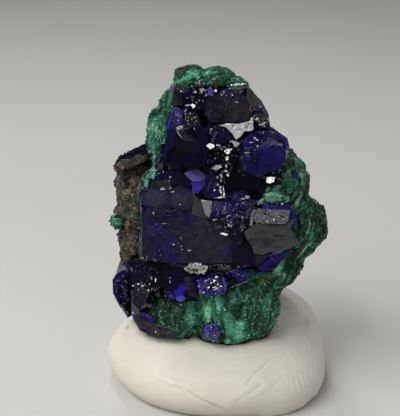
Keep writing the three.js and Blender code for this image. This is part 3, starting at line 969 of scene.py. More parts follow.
# The crystal faces that the photograph shows: what each mirrors, its look, its surface and its
# corners in the photograph's pixels
SEEN_FACES = [
    # under the crown
    ("side", "gray", "mosaic", [(173, 91.5), (182, 94), (183, 105), (170, 106)]),
    ("dark", "umber", "rough", [(175, 86), (190, 86), (190, 91), (182, 93.5), (173, 91)]),
    ("dark", "black", "rough", [(183, 94), (190, 91), (207, 95), (206, 109), (184, 108)]),
    ("dark", "ink", "rough", [(200, 81), (208.5, 80), (210.5, 87), (203, 87.5)]),
    ("left", "violet", "rough", [(207.5, 88), (211, 87.5), (213.5, 91), (213, 96), (208, 95)]),
    ("dark", "royal", "rough", [(221, 91), (229, 89), (230, 94), (223, 95.5)]),
    # the black block on the right of it
    (
        "edge",
        "coal",
        "streaked",
        [(207, 96.5), (222, 94), (232, 89), (240, 88.5), (246, 98), (250, 108), (249, 120)]
        + [(244, 122), (225, 122), (209, 122.5), (206, 110)],
    ),
    ("right", "navy", "rough", [(240, 88.5), (247, 88), (249, 95), (246, 98)]),
    (
        "side",
        "black",
        "mosaic",
        [(247, 88), (250.5, 88.5), (260, 101), (258, 106), (250.5, 107.5), (246.5, 98)],
    ),
    (
        "dark",
        "black",
        "sparkly",
        [(250.5, 107.5), (258, 106), (266, 115), (269, 121), (270, 129), (261, 127), (252, 118)],
    ),
    # the upper left crystal
    (
        "left",
        "blue",
        "rough",
        [(169, 107.5), (177, 107), (183, 112), (182, 124), (176, 127), (171, 121)],
    ),
    (
        "right",
        "black",
        "ribbed",
        [(184, 112), (194, 111), (199, 117), (200, 126), (192, 128), (183, 127.5)],
    ),
    (
        "side",
        "black",
        "plain",
        [(177, 130.5), (182.5, 128), (193, 127.8), (196, 133), (199, 142), (184, 140.5)],
    ),
    (
        "dark",
        "black",
        "mosaic",
        [(176, 132), (184, 140.5), (199, 142), (199.5, 169), (188, 170), (179, 163), (174, 146)],
    ),
    (
        "dark",
        "ink",
        "mosaic",
        [(194, 127), (207, 128), (208, 150), (206, 163), (199.5, 169), (199, 142), (196, 133)],
    ),
    (
        "dark",
        "ink",
        "mosaic",
        [(168, 150), (174, 146), (179, 163), (184, 170), (172, 168), (165, 160)],
    ),
    (
        "dark",
        "navy",
        "rough",
        [(171, 122), (176, 127.5), (177, 131), (174, 146), (168, 150), (165, 160), (164, 150)]
        + [(168, 134)],
    ),
    ("soft", "ink", "plain", [(168, 160), (177, 159.3), (177.5, 160.6), (168.5, 161.4)]),
    # between the blocks
    (
        "dark",
        "ink",
        "rough",
        [(207, 124), (219, 127), (227, 130), (232, 137), (224, 142), (216, 141), (210, 136)],
    ),
    ("left", "slate", "plain", [(210, 142), (215.5, 131), (218, 132), (213, 143)]),
    (
        "soft",
        "ledge",
        "rough",
        [(219, 125.5), (226, 123.5), (231, 123.3), (238, 124), (250, 121), (251, 117.5)]
        + [(253, 118), (253.5, 129), (251, 131), (245, 131), (240, 137), (236, 139.5)]
        + [(232, 133.5), (226, 127)],
    ),
    ("dark", "ink", "rough", [(209, 218.5), (218, 218.5), (226, 226), (232, 237), (215, 227)]),
    ("dark", "black", "rough", [(273, 168), (281, 171), (283, 180), (277, 184), (271, 175)]),
    # the royal blue crystal
    (
        "dark",
        "royal",
        "rough",
        [(268, 126), (272, 128), (287, 138), (290, 150), (286, 150), (284, 139), (270, 132)],
    ),
    (
        "dark",
        "blue",
        "rough",
        [(240, 141), (252, 133), (262, 129.5), (271, 131.5), (285, 138.5), (287, 150)]
        + [(257, 149), (246, 149)],
    ),
    (
        "dark",
        "blue",
        "mosaic",
        [(262, 149.5), (285, 151), (286, 159), (281, 169), (269, 171.5), (257, 164), (258, 156)],
    ),
    (
        "dark",
        "navy",
        "rough",
        [(240, 150.5), (261.5, 149.8), (257.5, 156), (256, 166), (247, 167), (241, 161)],
    ),
    ("soft", "blue", "rough", [(247, 158.7), (256, 158.2), (256.5, 159.4), (248, 160)]),
    # the violet tooth and the ribs beside it
    (
        "left",
        "lilac",
        "mosaic",
        [(184, 173), (190, 170), (198, 169), (203.5, 173), (205.5, 177.5), (200, 181.5)]
        + [(192, 181)],
    ),
    (
        "dark",
        "violet",
        "mosaic",
        [(192, 181), (200, 181.5), (205.5, 177.5), (205, 183), (201, 189), (197, 193)]
        + [(193.5, 192)],
    ),
    (
        "edge",
        "navy",
        "ribbed",
        [(203, 165), (212, 168), (217, 180), (221, 196), (209, 199), (201, 192), (205.5, 184)],
    ),
    # the step
    (
        "left",
        "frost",
        "plain",
        [(200.8, 201), (211.5, 200.6), (212.5, 205), (209, 217), (205.5, 215), (203, 207)],
    ),
    ("left", "slate", "ribbed", [(211.5, 200.6), (219, 201), (214, 210), (209, 217), (212.5, 205)]),
    (
        "dark",
        "blue",
        "mosaic",
        [(219, 201), (225, 203), (225, 214), (218, 217.5), (209.5, 217.3), (214, 210)],
    ),
    (
        "dark",
        "navy",
        "rough",
        [(225, 203), (237, 208), (245, 214), (240, 224), (232, 226), (222, 222), (225, 214)],
    ),
    (
        "dark",
        "navy",
        "rough",
        [(233, 192), (244, 190), (250, 196), (249, 207), (243, 214), (236, 209), (232, 200)],
    ),
    (
        "dark",
        "ink",
        "rough",
        [(232, 226), (240, 224), (244, 232), (241, 246), (236, 240), (231, 232)],
    ),
    # the great plate
    (
        "dark",
        "ink",
        "mosaic",
        [(168, 172), (178, 170), (184, 174), (191, 181), (190, 189), (180, 184), (171, 186)],
    ),
    ("dark", "navy", "rough", [(152, 172), (162, 169.5), (174, 175), (168, 180), (152, 180)]),
    ("dark", "umber", "rough", [(151, 181), (168, 180), (172, 185), (168, 190), (150, 190)]),
    (
        "dark",
        "plate",
        "mosaic",
        [(142, 192), (150, 190), (168, 190), (180, 184), (190, 190), (193, 200), (190, 215)]
        + [(176, 211.5), (168, 207), (150, 207), (141, 205)],
    ),
    (
        "dark",
        "plate",
        "mosaic",
        [(142, 207.5), (168, 207.3), (176, 211.7), (190, 215.2), (207, 219), (212, 226)]
        + [(232, 236), (234, 262), (205, 263), (180, 262), (160, 262), (142, 258)],
    ),
    ("dark", "navy", "rough", [(139, 193), (142, 191), (142.5, 257), (139.5, 257)]),
    ("dark", "navy", "rough", [(141, 190.5), (147, 176), (153, 171), (152, 180), (150, 190)]),
    (
        "side",
        "dusk",
        "mosaic",
        [(182, 183), (188, 180.5), (193, 193), (200, 200.5), (203, 207), (207, 218.5)]
        + [(191, 214.5), (194, 200), (190.5, 189)],
    ),
    (
        "dark",
        "ink",
        "mosaic",
        [(231, 234), (241, 245.5), (253, 253.5), (258, 266), (247, 265), (233, 263)],
    ),
    # the slate-gray face, its bevel and the blue round it
    (
        "side",
        "moss",
        "mosaic",
        [(244.5, 232), (251, 227), (256, 224), (285, 224.5), (293, 232), (297, 243)]
        + [(290, 248.5), (270, 252), (262, 255), (254, 253), (252, 246), (246, 238)],
    ),
    (
        "left",
        "ash",
        "rough",
        [(252, 215), (258, 208.5), (270, 209.5), (290, 210), (288, 221), (285, 224)]
        + [(256, 223.5)],
    ),
    (
        "left",
        "frost",
        "rough",
        [(249.5, 226), (251, 214), (254, 209), (256, 210), (253.5, 216), (252.5, 225)],
    ),
    (
        "dark",
        "royal",
        "rough",
        [(262, 204.5), (275, 205), (292, 204), (292, 209), (275, 210), (262, 209)],
    ),
    (
        "dark",
        "royal",
        "rough",
        [(288, 212), (292, 209), (296.5, 214), (297, 229), (293, 231), (288, 222)],
    ),
    ("right", "ink", "mosaic", [(254, 254), (262, 256), (272, 253), (262, 262), (257, 266)]),
    (
        "dark",
        "royal",
        "mosaic",
        [(257, 270), (264, 262), (278, 254.5), (290, 250), (287, 256), (277, 265), (269, 271)],
    ),
    ("dark", "royal", "rough", [(232, 269), (256, 271), (252, 279), (240, 281), (232, 276)]),
    # the foot
    ("dark", "navy", "rough", [(121, 264), (127, 261), (131, 262), (131, 269), (128, 269)]),
    (
        "dark",
        "black",
        "mosaic",
        [(131, 262), (142, 261), (152, 264), (160, 263), (161, 279), (150, 282), (135, 279)],
    ),
    (
        "dark",
        "ink",
        "mosaic",
        [(162, 264), (184, 267), (188, 274), (184, 277), (176, 290), (163, 287), (161, 275)],
    ),
    ("right", "plum", "plain", [(184, 277), (199, 276), (200.5, 299), (190, 296), (186, 288)]),
    (
        "left",
        "violet",
        "rough",
        [(175.5, 296.5), (183, 295.5), (186, 298.5), (181, 302), (176.5, 300.5)],
    ),
    ("dark", "blue", "rough", [(166, 292), (175, 291), (175, 298), (168, 297)]),
    (
        "dark",
        "blue",
        "rough",
        [(112.5, 280), (116, 274), (122, 270.5), (128, 269), (128, 276), (121, 279)]
        + [(118, 290), (120, 304), (119, 305), (113, 293)],
    ),
    (
        "dark",
        "ink",
        "rough",
        [(121, 279), (128, 276), (128, 290), (126, 311), (121, 303), (118.5, 290)],
    ),
    ("side", "slate", "plain", [(128.8, 270), (130, 270), (131.3, 310), (130, 300)]),
    (
        "right",
        "plum",
        "rough",
        [(132, 286), (142, 289), (150, 292), (146, 302), (140, 310), (133, 303)],
    ),
    ("dark", "royal", "rough", [(139, 311), (146, 313), (157, 321), (150, 322), (142, 318)]),
    (
        "dark",
        "umber",
        "rough",
        [(133, 317), (142, 319), (160, 325), (175, 333), (176, 338), (155, 337), (140, 330)],
    ),
]

# Small faces that flash: what each mirrors, its middle and its reach in the photograph's pixels
FLASHES = [
    ("glint", (210.5, 146.5), (3.8, 3.0)),
    ("spot", (229, 151), (4.4, 3.2)),
    ("spot", (227.5, 158), (2.4, 2.6)),
    ("spot", (232, 162.3), (2.6, 1.8)),
    ("soft", (216, 167), (5.4, 2.6)),
    ("spot", (219.5, 166.5), (2.2, 1.6)),
    ("glint", (225.5, 142.5), (1.2, 1.4)),
    ("glint", (217, 145), (1.1, 0.9)),
    ("glint", (215, 157), (1.3, 1.3)),
    ("glint", (218, 159), (1.0, 1.4)),
    ("spot", (226.5, 165.5), (1.2, 1.4)),
    ("spot", (228, 175), (1.6, 1.6)),
    ("soft", (222, 176), (1.6, 2.4)),
    ("soft", (220.5, 181), (1.4, 3.0)),
    ("glint", (214.5, 190), (1.1, 1.1)),
    ("soft", (195, 92), (1.8, 1.3)),
    ("glint", (181, 91), (0.8, 0.9)),
    ("glint", (215.8, 90.8), (1.5, 1.7)),
    ("soft", (187.5, 105.5), (2.8, 1.4)),
    ("glint", (193, 106), (2.6, 2.0)),
    ("soft", (203, 90.5), (1.0, 1.0)),
    ("glint", (243.5, 175.3), (1.4, 0.7)),
    ("glint", (224, 234), (4.2, 1.5)),
    ("soft", (215, 219.7), (2.4, 1.3)),
    ("soft", (228, 225), (2.4, 1.5)),
    ("glint", (231, 226), (1.0, 1.0)),
    ("soft", (247.5, 197), (2.6, 2.0)),
    ("soft", (243.5, 198.7), (2.4, 1.2)),
    ("glint", (271.5, 266.7), (2.0, 1.2)),
    ("soft", (254.5, 138), (1.6, 1.4)),
    ("glint", (257.5, 140), (1.4, 0.8)),
    ("soft", (251.5, 142.5), (2.6, 0.9)),
    ("soft", (247, 152.5), (3.0, 0.6)),
    ("glint", (138.5, 284), (1.8, 1.3)),
    ("soft", (142.5, 286), (1.6, 1.2)),
    ("glint", (155.5, 280), (0.8, 2.0)),
    ("soft", (149.5, 284), (1.2, 1.6)),
    ("soft", (148.5, 290), (1.2, 2.2)),
    ("soft", (151.5, 278), (0.8, 2.0)),
    ("soft", (153.5, 212.5), (1.0, 1.8)),
    ("soft", (165, 223.6), (3.2, 0.5)),
    ("soft", (172.4, 191.5), (2.4, 0.9)),
    ("soft", (173.5, 244.5), (1.6, 0.9)),
    ("soft", (188.5, 250.3), (2.8, 0.7)),
    ("soft", (170, 177), (1.8, 0.8)),
    ("soft", (237, 102), (1.6, 0.9)),
    ("soft", (282, 203.8), (1.6, 1.0)),
    ("soft", (170, 282), (0.8, 1.6)),
    ("soft", (133, 312), (1.6, 2.2)),
]
# Patches of tiny faces: what they mirror, their look, middle and reach in pixels, how many, the
# reach of each, and how far they scatter
SPRAYS = [
    ("glint", "black", (217, 152), (9, 9), 34, (0.5, 1.5), 0.14),
    ("spot", "black", (226, 162), (7, 14), 52, (0.5, 1.6), 0.12),
    ("glint", "navy", (220, 184), (4, 11), 22, (0.5, 1.3), 0.2),
    ("glint", "ink", (195, 97), (11, 7), 14, (0.4, 1.0), 0.26),
    ("glint", "blue", (229, 92), (14, 4), 20, (0.5, 1.1), 0.25),
    ("dark", "coal", (256, 114), (9, 9), 16, (0.6, 1.4), 0.3),
    ("glint", "ink", (200, 84), (14, 4), 20, (0.5, 1.3), 0.3),
    ("glint", "blue", (262, 138), (20, 8), 34, (0.5, 1.3), 0.32),
    ("soft", "blue", (250, 146), (9, 5), 16, (0.4, 1.0), 0.2),
    ("glint", "royal", (176, 115), (6, 8), 12, (0.5, 1.2), 0.35),
    ("soft", "ink", (190, 119), (8, 7), 26, (0.4, 0.9), 0.25),
    ("soft", "chalk", (196, 268.5), (11, 5), 200, (0.6, 1.5), 0.45),
    ("soft", "chalk", (196, 268.5), (10, 4.5), 110, (0.6, 1.5), 0.3),
    ("soft", "frost", (221, 269), (13, 5), 80, (0.5, 1.2), 0.5),
    ("glint", "blue", (242, 274), (11, 5), 40, (0.5, 1.4), 0.35),
    ("dark", "coal", (146, 269), (13, 10), 40, (0.5, 1.3), 0.12),
    ("glint", "ink", (144, 286), (11, 6), 36, (0.5, 1.4), 0.2),
    ("soft", "frost", (120, 288), (7, 16), 8, (0.4, 1.0), 0.4),
    ("dark", "navy", (122, 290), (7, 18), 30, (0.5, 1.2), 0.16),
    ("soft", "frost", (148, 259), (9, 3), 26, (0.4, 0.8), 0.3),
    ("soft", "ink", (173, 279), (10, 10), 18, (0.4, 0.8), 0.25),
    ("soft", "blue", (233, 215), (12, 12), 20, (0.5, 1.2), 0.2),
    ("glint", "navy", (226, 210), (9, 9), 12, (0.4, 0.9), 0.3),
    ("soft", "blue", (241, 198), (9, 6), 18, (0.4, 1.0), 0.3),
    ("soft", "frost", (270, 216), (18, 6), 34, (0.5, 1.3), 0.3),
    ("dark", "ink", (268, 217), (18, 7), 60, (0.4, 1.1), 0.3),
    ("soft", "navy", (163, 175), (11, 5), 7, (0.5, 1.0), 0.2),
    ("glint", "royal", (278, 206), (15, 3), 24, (0.5, 1.1), 0.3),
    ("soft", "frost", (165, 232), (22, 26), 14, (0.3, 0.7), 0.3),
    ("soft", "slate", (185, 225), (40, 30), 26, (0.3, 0.8), 0.25),
    ("soft", "violet", (294, 177), (4, 4), 20, (0.6, 1.3), 0.3),
    ("soft", "navy", (240, 298), (12, 10), 40, (0.4, 0.9), 0.3),
    ("soft", "navy", (152, 326), (18, 9), 16, (0.4, 0.9), 0.3),
]
# Flat white faces that stand free of the fibres round them: what they mirror, middle and reach
MIRRORS = [("spot", (270.5, 179.6), (5.0, 4.2)), ("glint", (271.5, 266.7), (2.2, 1.3))]
MIRROR_PROUD = 0.4
# Fine lines on faces: what they mirror, their look, middle and reach in pixels, how many, the
# longest one's length and the widest one's width in pixels, and their slope in the picture
STREAKS = [
    ("dark", "scratch", (231, 104), (8, 9), 34, (7.0, 0.4), (0.45, 1.0)),
    ("dark", "gray", (222, 110), (13, 10), 40, (6.0, 0.6), (0.45, 1.0)),
    ("dark", "gray", (210, 182), (4, 12), 12, (7.0, 0.3), (-0.4, 1.0)),
    ("side", "shadow", (270, 239), (20, 10), 22, (14.0, 1.4), (1.0, 0.12)),
    ("soft", "blue", (222, 208), (9, 6), 7, (5.0, 0.5), (-0.5, 1.0)),
    ("dark", "navy", (212, 207), (1.8, 1.5), 4, (14.0, 1.2), (0.26, 1.0)),
    ("dark", "frost", (219, 208), (5, 7), 12, (8.0, 0.7), (0.45, 1.0)),
    ("dark", "lilac", (228, 212), (13, 9), 26, (5.0, 0.9), (0.45, 1.0)),
    ("dark", "royal", (160, 238), (16, 15), 16, (9.0, 1.4), (-0.8, 0.6)),
    ("dark", "black", (165, 214), (20, 7), 14, (10.0, 1.6), (1.0, 0.1)),
    ("dark", "ash", (178, 236), (30, 18), 14, (7.0, 0.4), (-0.8, 0.6)),
]
MOST_TILT = 9.0  # how far a large face tilts from the solid below it, in degrees
LEAST_FACING = 0.25  # a face that the camera sees more from the side than this is left out
FLARE = 0.05  # how much wider a face's slab is at its back
ROOTED = 0.3  # how deep it reaches into the solid behind it, in mm
DEEPEST = 1.5  # and how far behind its nearest place it ends, in mm, where that solid lies deeper
RIB_LEAN = np.array([0.4, 1.0])  # the direction of ribs in the view, across and up


def joined(meshes):
    """Several meshes, each (corners, triangles), as one surface to place things on."""
    starts = np.cumsum([0] + [len(verts) for verts, _ in meshes[:-1]])
    verts = np.vstack([verts for verts, _ in meshes])
    tris = np.vstack([tris + start for (_, tris), start in zip(meshes, starts)])
    return BVHTree.FromPolygons(verts.tolist(), tris.tolist())


STONE = [
    arrays(solid(name))[:2]
    for name in NODES
    if name.startswith(("azurite", "malachite", "iron"))
]
STONE_SURFACE = joined(STONE)


def placed(spots):
    """Patches from spots of the photograph. A spot is (pixel, pixel, reach in pixels, strength)."""
    patches = []
    for x, y, reach, strength in spots:
        ray = sights([(x, y)])[0]
        place, _, _, depth = STONE_SURFACE.ray_cast(EYE, ray)
        if place is not None:
            patches.append((np.array(place), reach * depth / FOCAL_PIXELS, strength))
    return patches


def seen_places(surface, pixels):
    """Where the camera sees the pixels on the surface, without the ones that miss it."""
    hits = [surface.ray_cast(EYE, ray)[0] for ray in sights(pixels)]
    return [np.array(hit) for hit in hits if hit is not None]


# Where the great plate's frosted face gets a painted sheen, a pale haze for the soft light it
# scatters, and where it is brownish
PAINTED_SHEEN_PATCHES = placed(
    [(153, 199, 14, 0.8), (180, 199, 14, 0.6), (150, 222, 12, 0.25), (176, 250, 14, 0.2)]
)
PLUM_PATCHES = placed([(205, 240, 34, 1.0), (168, 196, 16, 0.5), (190, 205, 14, 0.5)])


def laid(surface, pixels, mirrored, scatter=None, proud=0.05, most=90.0):
    """Lays a flat face on the surface, so that it mirrors the given direction into the view.

    The face itself tilts from the surface by most degrees. The rest is a turn of its shading.
    """
    pixels = np.array(pixels, float)
    rays = sights(pixels)
    hits = [surface.ray_cast(EYE, ray) for ray in rays]
    depths = np.array([hit[3] or 0.0 for hit in hits])
    if not depths.any():
        return None
    ground = unit(sum(np.array(hit[1]) for hit in hits if hit[0] is not None))
    depths = np.where(depths == 0, depths.max(), depths)
    places = EYE + rays * depths[:, None]
    wanted = unit(unit(EYE - places.mean(axis=0)) + direction(*mirrored))
    if scatter is not None:
        wanted = unit(wanted + scatter)
    bend = math.acos(min(1.0, ground @ wanted))
    share = min(1.0, math.radians(most) / max(bend, 1e-6))
    aim = unit(ground * (1 - share) + wanted * share)
    level = (places @ aim).max() + proud
    facing = rays @ aim
    if facing.max() > -LEAST_FACING:
        return None
    reach = (level - EYE @ aim) / facing
    wider = pixels + (pixels - pixels.mean(axis=0)) * FLARE
    behind = np.maximum(reach, np.minimum(depths, depths.min() + DEEPEST)) + ROOTED
    back = EYE + sights(wider) * behind[:, None]
    return EYE + rays * reach[:, None], back, aim, wanted - aim


def broken(body, top, flag, aim, surface, rng):
    """Breaks a flat face into small ones that tilt a little."""
    along, across, tilt = surface
    lean = unit(RIB_LEAN[0] * RIGHT + RIB_LEAN[1] * VIEW_UP)
    first = unit(lean - aim * (lean @ aim))
    second = np.cross(aim, first)
    corners = np.array([corner.co for corner in top.verts])
    top[flag] = 1
    for line, spacing in ((first, along), (second, across)):
        low, high = (corners @ line).min(), (corners @ line).max()
        skew = unit(line + rng.normal(0, 0.12, 3))
        place = low + spacing * rng.uniform(0.3, 1)
        while place < high:
            cells = with_borders([face for face in body.faces if face[flag]])
            middle = Vector(corners.mean(axis=0) + line * (place - corners.mean(axis=0) @ line))
            bmesh.ops.bisect_plane(
                body, geom=cells, dist=1e-5, plane_co=middle, plane_no=Vector(skew)
            )
            place += spacing * rng.uniform(0.6, 1.5)
    height = math.tan(math.radians(tilt)) * min(along, across) * 0.6
    for corner in body.verts:
        if all(face[flag] for face in corner.link_faces):
            corner.co += Vector(aim * height * rng.normal())


def slab(top, back, aim, turn, surface, rng):
    """A flat body between a seen face and its root, which triangles show, and their turn."""
    body = bmesh.new()
    flag = body.faces.layers.int.new("front")
    upper = [body.verts.new(corner) for corner in top]
    lower = [body.verts.new(corner) for corner in back]
    front = body.faces.new(upper)
    body.faces.new(lower[::-1])
    for k in range(len(top)):
        nxt = (k + 1) % len(top)
        body.faces.new((upper[k], lower[k], lower[nxt], upper[nxt]))
    bmesh.ops.recalc_face_normals(body, faces=body.faces)
    if surface:
        broken(body, front, flag, aim, surface, rng)
    verts, tris, middles = arrays(body)
    shows = (unit(face_normals(verts, tris)) @ aim) > 0.5
    return verts, tris, middles, shows, turn


def dressed(made, look, rng, shake):
    """A part from a slab, with the look on its face and a darker one on its sides."""
    verts, tris, middles, shows, turn = made
    count = len(tris)
    faces = {name: np.where(shows, value, 0.4 * value) for name, value in look.items()}
    faces["calm"] = np.full(count, 0.8)
    faces["blue"] = faces["blue"] + rng.normal(0, 0.03, count)
    faces["turn"] = (turn + rng.normal(0, shake, (count, 3))) * shows[:, None]
    veil = patchy(verts, PAINTED_SHEEN_PATCHES, 0.2)
    plum = patchy(verts, PLUM_PATCHES, 0.2)
    return part(verts, tris, faces=shared(middles, faces), veil=veil, plum=plum)


def polygon(middle, reach, rng, corners=5):
    """An uneven little outline round a place of the photograph."""
    turn = np.sort(rng.uniform(0, 1, corners)) * 0.5 + np.arange(corners) / corners * 0.5
    angle = 2 * math.pi * (turn + rng.random())
    far = rng.uniform(0.6, 1.3, corners)
    ring = np.stack([np.cos(angle) * far * reach[0], np.sin(angle) * far * reach[1]], axis=1)
    return np.array(middle) + ring


def in_ellipse(middle, reach, count, rng):
    """Pixels spread evenly over an ellipse."""
    angle, far = rng.uniform(0, 2 * math.pi, count), rng.random(count) ** 0.5
    return middle[0] + reach[0] * far * np.cos(angle), middle[1] + reach[1] * far * np.sin(angle)


def seen_parts(rng):
    parts = []
    for mirrored, look, finish, corners in SEEN_FACES:
        at = laid(STONE_SURFACE, corners, MIRRORED[mirrored], most=MOST_TILT)
        if at:
            shake = 0.0 if SURFACES[finish] is None else 0.02
            made = slab(*at, SURFACES[finish], rng)
            parts.append(dressed(made, LOOKS[look], rng, shake))
    surface = with_stone(parts)
    for mirrored, look, middle, reach, count, sizes, scatter in SPRAYS:
        for _ in range(count):
            angle, far = rng.uniform(0, 2 * math.pi), rng.random() ** 0.5
            place = (
                middle[0] + reach[0] * far * math.cos(angle),
                middle[1] + reach[1] * far * math.sin(angle),
            )
            size = rng.uniform(*sizes)
            outline = polygon(place, (size, size * rng.uniform(0.6, 1.2)), rng)
            lean = rng.normal(0, scatter, 3)
            at = laid(surface, outline, MIRRORED[mirrored], lean, 0.0)
            if at:
                parts.append(dressed(slab(*at, None, rng), LOOKS[look], rng, 0.0))
    for mirrored, look, middle, reach, count, longest, slope in STREAKS:
        along = np.array([slope[0], -slope[1]]) / math.hypot(*slope)
        across = np.array([along[1], -along[0]])
        for x, y in zip(*in_ellipse(middle, reach, count, rng)):
            far, wide = np.array(longest) * rng.uniform(0.3, 1.0, 2) / 2
            corners = [(-far, 0), (0, wide), (far, 0), (0.1 * far, -wide)]
            outline = [np.array([x, y]) + a * along + b * across for a, b in corners]
            at = laid(surface, outline, MIRRORED[mirrored], proud=0.004, most=MOST_TILT)
            if at:
                parts.append(dressed(slab(*at, None, rng), LOOKS[look], rng, 0.0))
    surface = with_stone(parts)
    for number, (mirrored, place, reach) in enumerate(FLASHES):
        rng = np.random.default_rng(number)
        at = laid(surface, polygon(place, reach, rng), MIRRORED[mirrored], proud=0.05)
        if at:
            parts.append(dressed(slab(*at, None, rng), LOOKS["smoke"], rng, 0.0))
    for mirrored, place, reach in MIRRORS:
        outline = polygon(place, reach, rng, 6)
        at = laid(surface, outline, MIRRORED[mirrored], proud=MIRROR_PROUD, most=MOST_TILT)
        if at:
            parts.append(dressed(slab(*at, None, rng), LOOKS["smoke"], rng, 0.0))
    return parts


def with_stone(parts):
    return joined(STONE + [(p["verts"], p["tris"]) for p in parts])


SEEN_PARTS = seen_parts(np.random.default_rng(12))
FRONT_SURFACE = with_stone(SEEN_PARTS)


def strewn(x, y):
    """Where the camera sees pixels on the stone's front, and the surface's direction there."""
    hits = [FRONT_SURFACE.ray_cast(EYE, ray) for ray in sights(np.stack([x, y], axis=1))]
    hits = [hit for hit in hits if hit[0] is not None]
    return np.array([hit[0] for hit in hits]), np.array([hit[1] for hit in hits])


def build_azurite():
    rng = np.random.default_rng(11)
    verts, tris, middles = crystal_part("azurite_crystals", 0.9, rng)
    faces = shared(middles, azurite_faces(middles, rng))
    parts = [part(verts, tris, faces=faces)]

    # the druse of tiny crystals in the hollows
    count = 420
    points, aims = sampled(verts, tris, count, rng, near(DRUSE))
    aims = unit(aims) + rng.normal(0, 0.6, aims.shape)
    lengths = rng.uniform(0.08, 0.26, count)
    parts.append(planted_azurite(GRAIN, points, aims, lengths, lengths, rng))
    parts += SEEN_PARTS
    piece("azurite_cluster", parts, AZURITE, "azurite", "azurite_crystals")


RIND_TURN = np.array([0.5, -0.8, -0.9])  # turns its shading away from the soft light above
RIND_END = placed([(117, 169, 11, 1.0)])  # where it thins out
RIND_FOOT_ACROSS = (115.5, 150)  # pixels between which small crystals grow below the rind
RIND_FOOT = (165, 153)  # how low they grow at these two


def build_rind():
    """The dark blue rind on the brown flank, made of flat crystals that lie on its slope."""
    rng = np.random.default_rng(3)
    verts, tris = remeshed("azurite_rind", 0.09, 1)
    out = normals(verts, tris)
    sunk = 0.08 + 0.26 * patchy(verts, RIND_END, 0.1)
    verts = verts + out * (0.12 * rough3(verts, 0.6, 9, 3) - sunk)[:, None]
    shaded = np.broadcast_to(RIND_TURN, (len(tris), 3))
    parts = [part(verts, tris, faces={"blue": 0.3, "haze": 0.6, "turn": shaded})]
    count = 260
    points, aims = sampled(verts, tris, count, rng)
    aims = aims + rng.normal(0, 0.5, aims.shape)
    widths = rng.uniform(0.06, 0.18, count)
    blue = rng.uniform(0.1, 0.7, count)
    grains = planted_azurite(GRAIN, points, aims, widths * 0.6, widths, rng, blue=blue, haze=0.6)
    grains["faces"]["turn"] = grains["faces"]["turn"] + RIND_TURN
    parts.append(grains)
    count = 500
    x = rng.uniform(*RIND_FOOT_ACROSS, count)
    share = (x - RIND_FOOT_ACROSS[0]) / (RIND_FOOT_ACROSS[1] - RIND_FOOT_ACROSS[0])
    y = RIND_FOOT[0] + (RIND_FOOT[1] - RIND_FOOT[0]) * share + rng.normal(0, 2.2, count)
    points, aims = strewn(x, y)
    aims = aims + rng.normal(0, 0.5, aims.shape)
    widths = rng.uniform(0.04, 0.13, len(points))
    blue = rng.uniform(0.0, 0.5, len(points))
    grains = planted_azurite(GRAIN, points, aims, widths * 0.7, widths, rng, blue=blue, haze=0.6)
    grains["faces"]["turn"] = grains["faces"]["turn"] + RIND_TURN
    parts.append(grains)
    piece("azurite_rind_crystals", parts, AZURITE, "azurite", "azurite_rind")


def build_ball():
    """The little rounded rosette, made of petals that overlap like scales."""
    rng = np.random.default_rng(4)
    verts, tris = remeshed("azurite_ball", 0.08, 2)
    parts = [part(verts, tris, faces={"blue": 0.6})]
    count = 150
    points, aims = sampled(verts, tris, count, rng)
    aims = aims + rng.normal(0, 0.35, aims.shape)
    widths = rng.uniform(0.09, 0.2, count)
    blue = rng.uniform(0.45, 1.0, count)
    parts.append(
        planted_azurite(BLOCK, points, aims, widths * 0.5, widths, rng, blue=blue, haze=0.5)
    )
    piece("azurite_ball_crystals", parts, AZURITE, "azurite", "azurite_ball")


ROSETTE_MIDDLE = np.array([-0.4, -5.45, 10.45])
ROSETTE_AXIS = unit(np.array([0.0, -0.93, 0.37]))
ROSETTE_GLINTS = [
    ((208.8, 287), 1.5), ((214.3, 280.3), 1.9), ((220.5, 286.5), 1.3), ((216.5, 277), 1.3),
    ((211, 283), 1.0), ((217.5, 284), 1.0), ((213, 287.5), 0.9), ((205, 281), 0.8),
]
ROSETTE_REACH = (0.86, 0.6)  # to the ring's crest, across and up


